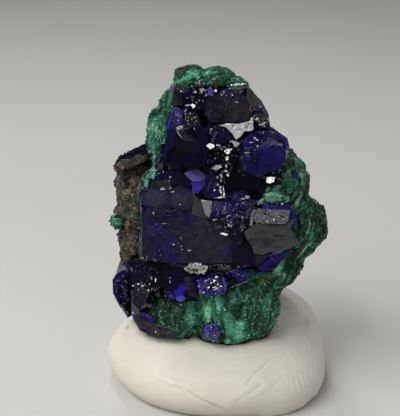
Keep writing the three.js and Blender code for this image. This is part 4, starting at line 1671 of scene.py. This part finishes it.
def build_rosette():
    """A ring of small blue crystals round a hollow with sparkling ones."""
    rng = np.random.default_rng(5)
    verts, tris = remeshed("azurite_rosette", 0.08, 2)
    side = np.array([1.0, 0.0, 0.0])
    rise = unit(np.cross(ROSETTE_AXIS, side)) * -1
    flat = verts - ROSETTE_MIDDLE
    far = np.hypot(flat @ side / ROSETTE_REACH[0], flat @ rise / ROSETTE_REACH[1])
    verts = verts - ROSETTE_AXIS * (0.35 * smooth(1.3 - 1.6 * far))[:, None]
    parts = [part(verts, tris, faces={"blue": 0.4})]
    count = 330
    angle = rng.uniform(0, 2 * math.pi, count)
    across = np.cos(angle)[:, None] * side * ROSETTE_REACH[0]
    up = np.sin(angle)[:, None] * rise * ROSETTE_REACH[1]
    points = ROSETTE_MIDDLE + across + up + rng.normal(0, 0.09, (count, 3))
    points -= ROSETTE_AXIS * 0.18
    aims = unit(across + up) * 0.5 + ROSETTE_AXIS + rng.normal(0, 0.4, (count, 3))
    lengths = rng.uniform(0.14, 0.3, count)
    blue = rng.uniform(0.55, 1.05, count)
    parts.append(
        planted_azurite(WEDGE, points, aims, lengths, lengths * 0.5, rng, blue=blue, haze=0.3)
    )
    count = 90
    reach = rng.normal(0, 0.42, (count, 2))
    points = ROSETTE_MIDDLE + reach[:, :1] * side * ROSETTE_REACH[0]
    points += reach[:, 1:] * rise * ROSETTE_REACH[1] - ROSETTE_AXIS * 0.3
    aims = ROSETTE_AXIS + rng.normal(0, 0.6, (count, 3))
    lengths = rng.uniform(0.1, 0.24, count)
    pale = 0.6 * (rng.random(count) < 0.15)
    parts.append(
        planted_azurite(WEDGE, points, aims, lengths, lengths * 0.6, rng, blue=0.2, pale=pale)
    )
    surface = joined([(p["verts"], p["tris"]) for p in parts])
    for place, reach in ROSETTE_GLINTS:
        at = laid(surface, polygon(place, (reach, reach), rng), GLINT_FROM, proud=0.02)
        if at:
            parts.append(dressed(slab(*at, None, rng), LOOKS["smoke"], rng, 0.0))
    piece("azurite_rosette_crystals", parts, AZURITE, "azurite", "azurite_rosette")


def build_back_azurite():
    rng = np.random.default_rng(17)
    verts, tris, middles = crystal_part("azurite_back_crystals", 0.8, rng)
    faces = shared(middles, azurite_faces(middles, rng))
    faces["blue"] = 0.35 + 0.3 * noise3(middles, 1.5, 5)
    parts = [part(verts, tris, faces=faces)]
    points, aims, sides = edge_places("azurite_back_crystals", 0.5, rng)
    widths = 0.1 + 0.3 * rng.random(len(points)) ** 2
    parts.append(
        planted_azurite(BLOCK, points, aims, widths * 0.3, widths, rng, sides, blue=0.4)
    )
    piece("azurite_back_cluster", parts, AZURITE, "azurite", "azurite_back_crystals")


# Malachite crusts

MINT_SPOTS = [
    (181, 79, 3, 0.7), (185, 76, 3, 0.9), (190, 74.5, 3.5, 1.0), (196, 74, 4, 1.0),
    (202, 73.5, 3.5, 1.0), (209, 72.5, 3.5, 0.9), (214, 73, 3, 0.6), (179, 83, 3, 0.7),
    (153, 160, 3, 0.9), (155, 166, 3, 0.8), (150, 172, 3, 0.9), (147, 178, 3, 0.8),
    (165, 120, 5, 0.3), (170, 130, 4, 0.4), (163, 140, 6, 0.35), (155, 150, 5, 0.4),
    (172, 112, 4, 0.3), (138, 225, 3, 0.4), (145, 186, 3, 0.6),
    (263, 200, 5, 1.0), (269, 197, 4.5, 0.9), (273, 193, 3.5, 0.6), (278, 199, 4, 0.8),
    (283, 198, 4, 0.9), (268, 203, 3.5, 0.9), (283, 180, 7, 0.35), (285, 265, 4, 0.4),
    (216, 294, 4, 0.7), (219, 302, 4.5, 1.0), (221, 310, 4, 1.0), (225, 316, 4, 1.0),
    (229, 323, 5, 1.0), (236, 328, 6, 1.0), (243, 326, 4, 0.9), (230, 333, 5, 0.8),
    (238, 335, 5, 0.7), (228, 341, 4, 0.7), (209, 300, 5, 0.5), (208, 312, 5, 0.45),
    (193, 310, 4, 0.6), (195, 322, 4, 0.5), (193, 332, 4, 0.4), (200, 297, 3, 0.5),
    (116, 221, 3.5, 0.9),
]
# Where the crusts are lighter or darker than elsewhere
LIGHT_SPOTS = [
    (160, 125, 16, 0.25), (155, 150, 12, 0.25), (262, 278, 9, 0.25), (245, 298, 10, 0.15),
    (262, 305, 14, 0.22), (285, 180, 9, 0.15), (273, 200, 14, 0.35), (240, 82, 8, 0.1),
    (113, 222, 6, 0.2), (208, 310, 10, 0.15), (140, 225, 6, 0.2), (148, 178, 8, 0.25),
]
MINT_PATCHES = placed([(x, y, 1.5 * reach, strength) for x, y, reach, strength in MINT_SPOTS])
LIGHT_PATCHES = placed(LIGHT_SPOTS)
DARK_PATCHES = placed(
    [(168, 310, 26, 0.36), (186, 68, 9, 0.32), (240, 300, 6, 0.1), (250, 290, 8, 0.1)]
)
FLECK_PATCHES = placed(
    [(165, 310, 26, 1.0), (248, 296, 14, 0.9), (306, 225, 22, 1.0), (288, 182, 18, 1.0)]
    + [(295, 255, 14, 0.9)]
)
OLIVE_PATCHES = placed(
    [(216, 84, 7, 1.0), (264, 278, 11, 0.8), (225, 276, 6, 0.9), (186, 67, 10, 0.8)]
    + [(150, 160, 5, 0.5), (244, 88, 8, 0.6), (240, 262, 6, 0.5)]
)
# Tufts that lie over the crystals beside them: the crust they belong to, middle and reach in
# pixels, how many fibres, the way these lie in the picture, their length, shade and mint
TUFTS = [
    ("malachite_crown", (197, 73), (9, 4), 900, (1, -0.1), 0.3, 0.55, 0.9),
    ("malachite_crown", (234, 84.5), (17, 4.5), 900, (1, 0.4), 0.3, 0.36, 0.1),
    ("malachite_crown", (213, 84), (8, 5), 450, (0.3, 1), 0.25, 0.36, 0.0),
    ("malachite_crown", (190, 86), (16, 3.0), 400, (0.6, 1), 0.2, 0.16, 0.0),
    ("malachite_crown", (252, 95), (3, 8), 160, (0.7, 1), 0.25, 0.22, 0.0),
    ("malachite_left_band", (168, 101), (6, 9), 900, (-0.4, 1), 0.35, 0.4, 0.1),
    ("malachite_left_band", (161, 124), (9, 14), 2200, (-0.35, 1), 0.4, 0.5, 0.2),
    ("malachite_left_band", (157, 145), (8, 11), 1600, (-0.3, 1), 0.4, 0.45, 0.15),
    ("malachite_left_band", (152, 167), (5, 10), 900, (-0.5, 1), 0.35, 0.6, 0.8),
    ("malachite_left_band", (146, 182), (4, 7), 400, (-0.4, 1), 0.3, 0.5, 0.6),
    ("malachite_seam", (139, 205), (2, 20), 260, (-0.1, 1), 0.25, 0.3, 0.3),
    ("malachite_seam", (139, 240), (3, 14), 200, (0.1, 1), 0.25, 0.3, 0.2),
    ("malachite_shoulder", (271, 199), (15, 5.5), 3000, (1, -0.3), 0.45, 0.82, 1.0),
    ("malachite_shoulder", (282, 199), (8, 4), 700, (1, -0.2), 0.4, 0.8, 0.9),
    ("malachite_shoulder", (288, 182), (9, 16), 1600, (1, -0.35), 0.3, 0.5, 0.4),
    ("malachite_shoulder", (280, 191), (10, 5), 1300, (1, -0.5), 0.35, 0.72, 0.7),
    ("malachite_shoulder", (297, 225), (5, 16), 700, (0.4, 1), 0.3, 0.34, 0.0),
    ("malachite_shoulder", (290, 262), (9, 10), 700, (-0.6, 1), 0.35, 0.34, 0.1),
    ("malachite_foot", (257, 277), (16, 6), 1300, (0.15, 1), 0.35, 0.52, 0.15),
    ("malachite_foot", (225, 277), (4, 5), 300, (0.0, 1), 0.25, 0.5, 0.1),
    ("malachite_foot", (157, 299), (13, 7), 600, (-0.5, 1), 0.2, 0.24, 0.1),
    ("malachite_foot", (206, 297), (9, 6), 500, (0.1, 1), 0.25, 0.4, 0.3),
    ("malachite_foot", (219, 302), (5, 10), 500, (0.4, 1), 0.3, 0.6, 1.0),
    ("malachite_foot", (232, 325), (9, 6), 600, (1, 0.3), 0.3, 0.6, 1.0),
    ("malachite_foot", (190, 312), (4, 12), 300, (-0.1, 1), 0.3, 0.45, 0.5),
]


def crust(node_name, voxel, seed, lump, flow):
    """The node's solid with the lumps, creases and roughness of a mineral crust."""
    verts, tris = remeshed(node_name, voxel)
    out = normals(verts, tris)
    nearest, _, _ = cells3(verts, 0.9, seed)
    fine, _, _ = cells3(verts, 0.3, seed + 9)
    relief = lump * (0.5 - nearest) + 0.7 * lump * rough3(verts, 0.8, seed, 4)
    relief += 0.08 * (0.5 - fine) + 0.07 * drawn_out(verts, flow, 0.3, seed + 8)
    return verts + out * relief[:, None], tris, relief


FIBRE_STRETCH = 0.86


def drawn_out(points, flow, size, seed):
    """Noise drawn out along the flow, like fibres that lie side by side."""
    bend = np.stack([noise3(points, 1.6, seed + axis) for axis in range(3)], axis=1)
    bent = points + 0.3 * bend
    along = np.sum(bent * flow, axis=-1, keepdims=True)
    return noise3(bent - flow * along * FIBRE_STRETCH, size, seed)


def shades(points, base, seed, flow, contrast=1.0):
    """How light the crust is at each point."""
    fibrous = 0.3 * drawn_out(points, flow, 0.17, seed + 5)
    fibrous += 0.2 * drawn_out(points, flow, 0.4, seed + 6)
    clouds = 0.18 * noise3(points, 1.2, seed) + 0.2 * rough3(points, 0.4, seed + 3)
    lighter = patchy(points, LIGHT_PATCHES, 0.2) - patchy(points, DARK_PATCHES, 0.2)
    return base + contrast * (fibrous + clouds) + lighter


def mint_at(points, seed, flow):
    """How minty the crust is at each point, streaky along its fibres."""
    streaks = 0.35 * drawn_out(points, flow, 0.2, seed + 7)
    spots = patchy(points, MINT_PATCHES, 0.25)
    return np.clip(spots * (0.9 + streaks), 0, 1)


def fibres(points, aims, flow, lengths, stand, rng):
    """Needles that lie along the flow and stand up from the surface a little."""
    along = flow - aims * np.sum(flow * aims, axis=1, keepdims=True)
    axes = unit(along) + stand * aims + rng.normal(0, 0.16, aims.shape)
    starts = points - unit(axes) * lengths[:, None] * 0.5 - aims * 0.03
    widths = rng.uniform(0.035, 0.085, len(points))
    return planted(NEEDLE, starts, axes, lengths, widths, rng)


def tufts(node_name, seed, rng):
    """The fibres that lie over the neighbouring crystals."""
    parts = []
    for owner, middle, reach, count, lie, length, shade, mint in TUFTS:
        if owner != node_name:
            continue
        angle = rng.uniform(0, 2 * math.pi, count)
        far = rng.random(count) ** 0.6 * (0.8 + 0.35 * np.sin(3 * angle + seed))
        x = middle[0] + reach[0] * far * np.cos(angle)
        y = middle[1] + reach[1] * far * np.sin(angle)
        points, aims = strewn(x, y)
        flow = unit(lie[0] * RIGHT - lie[1] * VIEW_UP)
        lengths = length * rng.uniform(0.5, 1.3, len(points))
        made = fibres(points, aims, flow, lengths, 0.3, rng)
        tint = shades(points, shade, seed, flow) + rng.normal(0, 0.06, len(points))
        minty = mint * (0.8 + 0.5 * drawn_out(points, flow, 0.2, seed))
        olive = patchy(points, OLIVE_PATCHES)
        parts.append(
            part(
                *made,
                mint=per_copy(minty, NEEDLE),
                tint=per_copy(tint, NEEDLE, 0.2),
                olive=per_copy(olive, NEEDLE),
            )
        )
    return parts


def build_malachite(
    name,
    node_name,
    seed,
    needles,
    length,
    flow,
    base,
    voxel=0.1,
    lump=0.2,
    grains=0,
    stand=0.3,
    sink=0.0,
    contrast=1.0,
):
    """A crust covered with fibres that lie along the flow, and with grains."""
    rng = np.random.default_rng(seed)
    flow = unit(np.array(flow, float))
    verts, tris, relief = crust(node_name, voxel, seed, lump, flow)
    verts = verts - normals(verts, tris) * sink
    # Adding the relief darkens the crust in its hollows and lightens it on its lumps: painted shade
    # and painted light.
    tint = np.clip(shades(verts, base - 0.08, seed, flow, contrast) + relief, 0, 1)
    mint = mint_at(verts, seed, flow)
    olive = patchy(verts, OLIVE_PATCHES)
    parts = [part(verts, tris, True, mint=mint, tint=tint, olive=olive)]

    points, aims = sampled(verts, tris, needles, rng)
    lengths = length * rng.uniform(0.5, 1.3, needles)
    shade = shades(points, base, seed, flow, contrast) + rng.normal(0, 0.18, needles)
    shade += 0.45 * (rng.random(needles) < 0.05 + 0.12 * patchy(points, FLECK_PATCHES))
    parts.append(
        part(
            *fibres(points, aims, flow, lengths, stand, rng),
            mint=per_copy(mint_at(points, seed, flow), NEEDLE),
            tint=per_copy(shade, NEEDLE, 0.2),
            olive=per_copy(patchy(points, OLIVE_PATCHES), NEEDLE),
        )
    )
    if grains:
        points, aims = sampled(verts, tris, grains, rng)
        sizes = rng.uniform(0.035, 0.1, grains)
        shade = shades(points, base, seed, flow, contrast) + rng.normal(0, 0.2, grains)
        shade += 0.55 * (rng.random(grains) < 0.08 + 0.16 * patchy(points, FLECK_PATCHES))
        aims = aims + rng.normal(0, 0.5, aims.shape)
        crumbs = planted(GRAIN, points, aims, sizes, sizes, rng)
        parts.append(
            part(
                *crumbs,
                mint=per_copy(mint_at(points, seed, flow), GRAIN),
                tint=per_copy(shade, GRAIN, 0.1),
                olive=per_copy(patchy(points, OLIVE_PATCHES), GRAIN),
            )
        )
    parts += tufts(node_name, seed, rng)
    piece(name, parts, MALACHITE, "malachite", node_name)


# Iron-oxide matrix

OCHRE_PATCHES = placed(
    [
        (148, 160, 4, 0.8), (143, 172, 4, 0.6), (137, 180, 6, 0.7), (120, 201, 5, 1.0),
        (126, 225, 6, 0.8), (133, 232, 4, 0.5), (122, 236, 4, 0.4),
    ]
)
MOSS_PATCHES = placed(
    [(123, 169, 6, 0.8), (135, 192, 4, 0.7), (125, 213, 7, 0.5), (133, 244, 4, 0.5)]
)
# Spots of painted shade on the flank
SHADE_PATCHES = placed(
    [(121, 186, 8, 0.6), (131, 201, 5, 0.9), (121, 240, 6, 0.8), (132, 262, 8, 0.6)]
)
SWOLLEN = placed([(118, 181, 12, 1.0), (118, 196, 9, 0.7)])  # where it fills its flank better
# Where its crumbs lie over the rind and the seam: middle and reach in pixels, and how many
CRUMBLED = [
    ((120, 168), (4, 4), 200),
    ((128, 164), (9, 3.5), 320),
    ((122, 175), (6, 3), 220),
    ((133, 170), (8, 3), 260),
    ((144, 166), (5, 3), 140),
    ((141, 160), (8, 4), 260),
    ((145, 172), (3, 6), 160),
    ((139, 184), (3, 7), 180),
    ((136.5, 198), (2.6, 8), 200),
    ((136.5, 212), (3, 9), 260),
    ((136.5, 226), (3, 9), 240),
    ((137, 243), (2.4, 10), 160),
]


def build_matrix():
    rng = np.random.default_rng(23)
    verts, tris = remeshed("iron_matrix", 0.16, 1)
    out = normals(verts, tris)
    holes, _, label = cells3(verts, 0.6, 81)
    pores, _, _ = cells3(verts, 0.28, 91)
    knobs, _, _ = cells3(verts, 0.8, 97)
    pit = smooth((0.45 - holes) * 5) * (label > 0.35)
    height = 0.26 * rough3(verts, 1.2, 83, 5) - 0.36 * pit + 0.16 * (0.5 - pores)
    height += 0.24 * (0.45 - knobs) + 0.22 * patchy(verts, SWOLLEN, 0.1)
    verts = verts + out * height[:, None]
    # Painted shade: the deeper the surface is pushed in, the darker it is coloured.
    recess_shade = smooth(-3.0 * height - 0.1)
    parts = [
        part(
            verts,
            tris,
            True,
            # The pit colour is painted shade in the pits, the recesses and the shaded spots.
            pit=np.clip(0.8 * pit + 0.6 * recess_shade + 0.7 * patchy(verts, SHADE_PATCHES), 0, 1),
            ochre=patchy(verts, OCHRE_PATCHES),
            green=patchy(verts, MOSS_PATCHES),
        )
    ]
    count = 6000
    points, aims = sampled(verts, tris, count, rng)
    sizes = 0.04 + 0.12 * rng.random(count) ** 2
    crumbs = planted(GRAIN, points, aims + rng.normal(0, 0.5, aims.shape), sizes, sizes, rng)
    shade = rng.random(count)
    ochre = np.maximum(patchy(points, OCHRE_PATCHES), 1.0 * (shade > 0.88))
    green = np.maximum(patchy(points, MOSS_PATCHES), 1.0 * ((shade > 0.8) & (shade < 0.88)))
    parts.append(
        part(
            *crumbs,
            pit=per_copy(0.85 * (shade < 0.4), GRAIN),
            ochre=per_copy(ochre, GRAIN),
            green=per_copy(green, GRAIN),
        )
    )
    for middle, reach, count in CRUMBLED:
        points, aims = strewn(*in_ellipse(middle, reach, count, rng))
        sizes = rng.uniform(0.06, 0.24, len(points))
        aims = aims + rng.normal(0, 0.5, aims.shape)
        shade = rng.random(len(points))
        parts.append(
            part(
                *planted(GRAIN, points, aims, sizes, sizes, rng),
                pit=per_copy(0.85 * (shade < 0.4), GRAIN),
                ochre=per_copy(0.8 * (shade > 0.93), GRAIN),
                green=per_copy(0.9 * ((shade > 0.72) & (shade < 0.84)), GRAIN),
            )
        )
    piece("iron_matrix_rough", parts, IRON, "matrix", "iron_matrix")


# Putty

# Creases: (width, depth, height of the lip above it, corners in the photograph's pixels)
CREASES = [
    (0.07, 0.08, 0.03, [(281, 356), (274, 359), (268, 363), (262, 369), (255, 374), (247, 385)]),
    (0.06, 0.04, 0.0, [(226, 370), (240, 370.5), (251, 372.5), (257, 372)]),
    (0.05, 0.04, 0.02, [(262, 384), (254, 390), (246, 397)]),
    (0.1, 0.14, 0.12, [(158, 383), (176, 388), (190, 393), (200, 399), (212, 405), (224, 409)]),
    (0.06, 0.06, 0.0, [(193, 390), (197, 391.5), (202, 393.5)]),
    (0.08, 0.03, 0.03, [(236, 402), (246, 395), (262, 384)]),
    (0.08, 0.04, 0.0, [(118, 329), (127, 326), (134, 323)]),
    (0.06, 0.03, 0.0, [(268, 352), (258, 356), (247, 358)]),
    (0.06, 0.03, 0.02, [(236, 347), (240, 352), (242, 360)]),
    (0.07, 0.03, 0.03, [(285, 372), (276, 384), (262, 395)]),
]
LIP_REACH = 0.3
WOBBLE = 0.09  # how far a crease strays from its line
SPECK = (128, 327)  # a black crumb pressed into it
SPECK_REACH = 0.12
RIDGE_SPACING = 0.4
CONTACT_SHADE_REACH = 0.5  # how far from the stone the putty gets painted contact shade, in mm
SMOOTHING = 130
HUGGED = 0.7  # how far from the stone the putty keeps its pressed edge


def evened(verts, tris, passes, kept):
    """Rounds the mesh off, least where kept is near one."""
    ends = np.concatenate([tris[:, [0, 1]], tris[:, [1, 2]], tris[:, [2, 0]]])
    ends = np.concatenate([ends, ends[:, ::-1]])
    number = np.bincount(ends[:, 0], minlength=len(verts))
    for _ in range(passes):
        mean = np.stack(
            [
                np.bincount(ends[:, 0], verts[ends[:, 1], axis], len(verts)) / number
                for axis in range(3)
            ],
            axis=1,
        )
        verts = verts + (mean - verts) * (0.5 * (1 - kept))[:, None]
    return verts


def build_putty():
    verts, tris = remeshed("putty_mount", 0.14, 2)
    near_stone = np.array([STONE_SURFACE.find_nearest(corner)[3] for corner in verts])
    kept = np.maximum(smooth(1.5 - near_stone / HUGGED), smooth(1.2 - 2 * verts[:, 2]))
    verts = evened(verts, tris, SMOOTHING, kept)
    out = normals(verts, tris)
    height = 0.07 * rough3(verts, 3.0, 31, 4)
    across = verts[:, 0] - 0.12 * (verts[:, 2] - 3) ** 2 / 3
    strays = 0.16 * noise3(verts, 1.1, 37) + 0.3 * noise3(verts, 3.0, 38)
    ridges = np.sin((across + strays) * 2 * math.pi / RIDGE_SPACING)
    pressed = smooth((verts[:, 0] - 3.6) / 2.5) * smooth((5.0 - verts[:, 2]) / 1.5)
    height += 0.02 * ridges * pressed * smooth(0.5 + 0.7 * noise3(verts, 1.3, 39))
    putty = joined([(verts, tris)])
    wobble = np.stack([rough3(verts, 0.9, 33 + axis, 3) for axis in range(3)], axis=1)
    for width, depth, lip, line in CREASES:
        ends = seen_places(putty, line)
        bent = verts + WOBBLE * wobble
        gap = np.full(len(verts), 9.0)
        for start, end in zip(ends, ends[1:]):
            step = end - start
            share = np.clip((bent - start) @ step / (step @ step), 0, 1)
            away = bent - (start + share[:, None] * step)
            far = np.linalg.norm(away, axis=1)
            above = np.where(far < np.abs(gap), np.sign(away @ VIEW_UP), np.sign(gap))
            gap = np.minimum(np.abs(gap), far) * above
        fading = smooth(0.75 + 0.6 * noise3(verts, 0.9, 33))
        height -= depth * fading * np.exp(-((gap / width) ** 2))
        height += lip * fading * np.exp(-(((gap - LIP_REACH) / LIP_REACH) ** 2))
    above = smooth(verts[:, 2] / 0.4)
    verts = verts + out * (height * above)[:, None]
    grime = 0.25 * smooth(rough3(verts, 1.5, 35, 4) * 2 - 0.8)
    # Painted contact shade: a darker ring where the putty meets the stone.
    grime = np.maximum(grime, 0.3 * smooth(1.4 - near_stone / CONTACT_SHADE_REACH))
    for speck in seen_places(putty, [SPECK]):
        gap = np.linalg.norm(verts - speck, axis=1)
        grime = np.maximum(grime, smooth(1.6 - gap / SPECK_REACH))
    piece("putty_ball", [part(verts, tris, True, grime=grime)], PUTTY, "putty", "putty_mount")


# Everything in its order

build_azurite()
build_rind()
build_ball()
build_rosette()
build_back_azurite()
build_malachite(
    "malachite_crown_crust", "malachite_crown", 41, 8000, 0.3, (1, 0, -0.15), 0.4, grains=2000
)
build_malachite(
    "malachite_band_fibres", "malachite_left_band", 42, 10000, 0.6, (0.35, 0, 1), 0.5,
    lump=0.1, stand=0.15,
)
build_malachite("malachite_seam_crust", "malachite_seam", 43, 5000, 0.3, (0.1, 0, 1), 0.42)
build_malachite(
    "malachite_tuft_fibres", "malachite_tuft", 44, 1100, 0.42, (-1, -0.3, 0.4), 0.62, voxel=0.08,
    lump=0.15, stand=0.8, sink=0.22,
)
build_malachite(
    "malachite_shoulder_velvet", "malachite_shoulder", 45, 15000, 0.38, (0.55, 0, 1), 0.35,
    grains=3500, contrast=1.8,
)
build_malachite(
    "malachite_foot_leaves", "malachite_foot", 46, 15000, 0.42, (0.12, 0, 1), 0.46,
    grains=4200,
)
build_malachite(
    "malachite_back_crust", "malachite_back", 47, 8000, 0.36, (0.2, 0, -1), 0.35, voxel=0.14,
    grains=1500,
)
build_matrix()
build_putty()


# Floor, light and camera

FLOOR_BACK = 900.0
FLOOR_SIDE = 900.0
FLOOR_FRONT = 140.0  # it ends in front, so that upright crystal faces mirror the dark room there
TABLE_GRAY = (0.58, 0.57, 0.54)


def build_floor():
    mesh = bpy.data.meshes.new("floor")
    x, near_side, far_side = FLOOR_SIDE * MM, -FLOOR_FRONT * MM, FLOOR_BACK * MM
    corners = [(-x, near_side, 0), (x, near_side, 0), (x, far_side, 0), (-x, far_side, 0)]
    mesh.from_pydata(corners, [], [(0, 1, 2, 3)])
    made, tree, shader, place = new_material("floor_pale", roughness=0.8)
    cloud = texture(tree, "Noise", place, 0.02, detail=3.0).outputs[0]
    light_gray = tuple(value * 1.04 for value in TABLE_GRAY)
    tree.links.new(
        ramp(tree, cloud, [(0.3, TABLE_GRAY), (0.7, light_gray)]), shader.inputs["Base Color"]
    )
    mesh.materials.append(made)
    floor = bpy.data.objects.new("floor", mesh)
    bpy.context.scene.collection.objects.link(floor)


def light(name, azimuth, elevation, distance, size, radiance, colour=(1, 1, 1)):
    """A soft rectangular light that faces the specimen."""
    data = bpy.data.lights.new(name, "AREA")
    data.shape = "RECTANGLE"
    data.size, data.size_y = (value * MM for value in size)
    data.energy = radiance * math.pi * data.size * data.size_y
    data.color = colour
    made = bpy.data.objects.new(name, data)
    away = direction(azimuth, elevation)
    made.location = Vector((LIGHT_MIDDLE + away * distance) * MM)
    made.rotation_euler = Vector(away).to_track_quat("Z", "Y").to_euler()
    bpy.context.scene.collection.objects.link(made)


BACKDROP_GRAY = (0.5, 0.495, 0.48)


def build_world():
    world = bpy.data.worlds.new("studio")
    bpy.context.scene.world = world
    world.use_nodes = True
    tree = world.node_tree
    shine = tree.nodes["Background"]
    place = node(tree, "ShaderNodeTexCoord").outputs["Generated"]
    front = node(
        tree,
        "ShaderNodeVectorMath",
        {0: place, 1: tuple(direction(0, 22))},
        operation="DOT_PRODUCT",
    ).outputs["Value"]
    colour = ramp(
        tree,
        front,
        [(0.0, (0.4, 0.4, 0.4)), (0.4, (0.25, 0.25, 0.25)), (0.72, (0.035, 0.035, 0.04))],
    )
    seen = node(tree, "ShaderNodeLightPath").outputs["Is Camera Ray"]
    shown = mixed(tree, seen, colour, (*BACKDROP_GRAY, 1))
    tree.links.new(shown, shine.inputs["Color"])
    shine.inputs["Strength"].default_value = 1.0


def build_camera():
    data = bpy.data.cameras.new("camera")
    data.lens = CAMERA_LENS
    data.sensor_width = SENSOR
    data.clip_start, data.clip_end = 0.005, 5.0
    camera = bpy.data.objects.new("camera", data)
    camera.location = Vector(EYE * MM)
    camera.rotation_euler = Vector(VIEW_BACK).to_track_quat("Z", "Y").to_euler()
    bpy.context.scene.collection.objects.link(camera)
    bpy.context.scene.camera = camera


build_floor()
light("key_behind", *KEY_FROM, KEY_DISTANCE, (42, 34), 20)
light("glint_front", *GLINT_FROM, 240, (34, 28), 25)
light("spot_right", *SPOT_FROM, 240, (22, 18), 45)
light("soft_left", -62, 46, 240, (130, 115), 7.0)
light("soft_front", *SOFT_FROM, 240, (110, 80), 4.0)
light("soft_top", -20, 68, 240, (130, 100), 0.6)
build_world()
build_camera()
bpy.context.scene.view_settings.view_transform = "Standard"
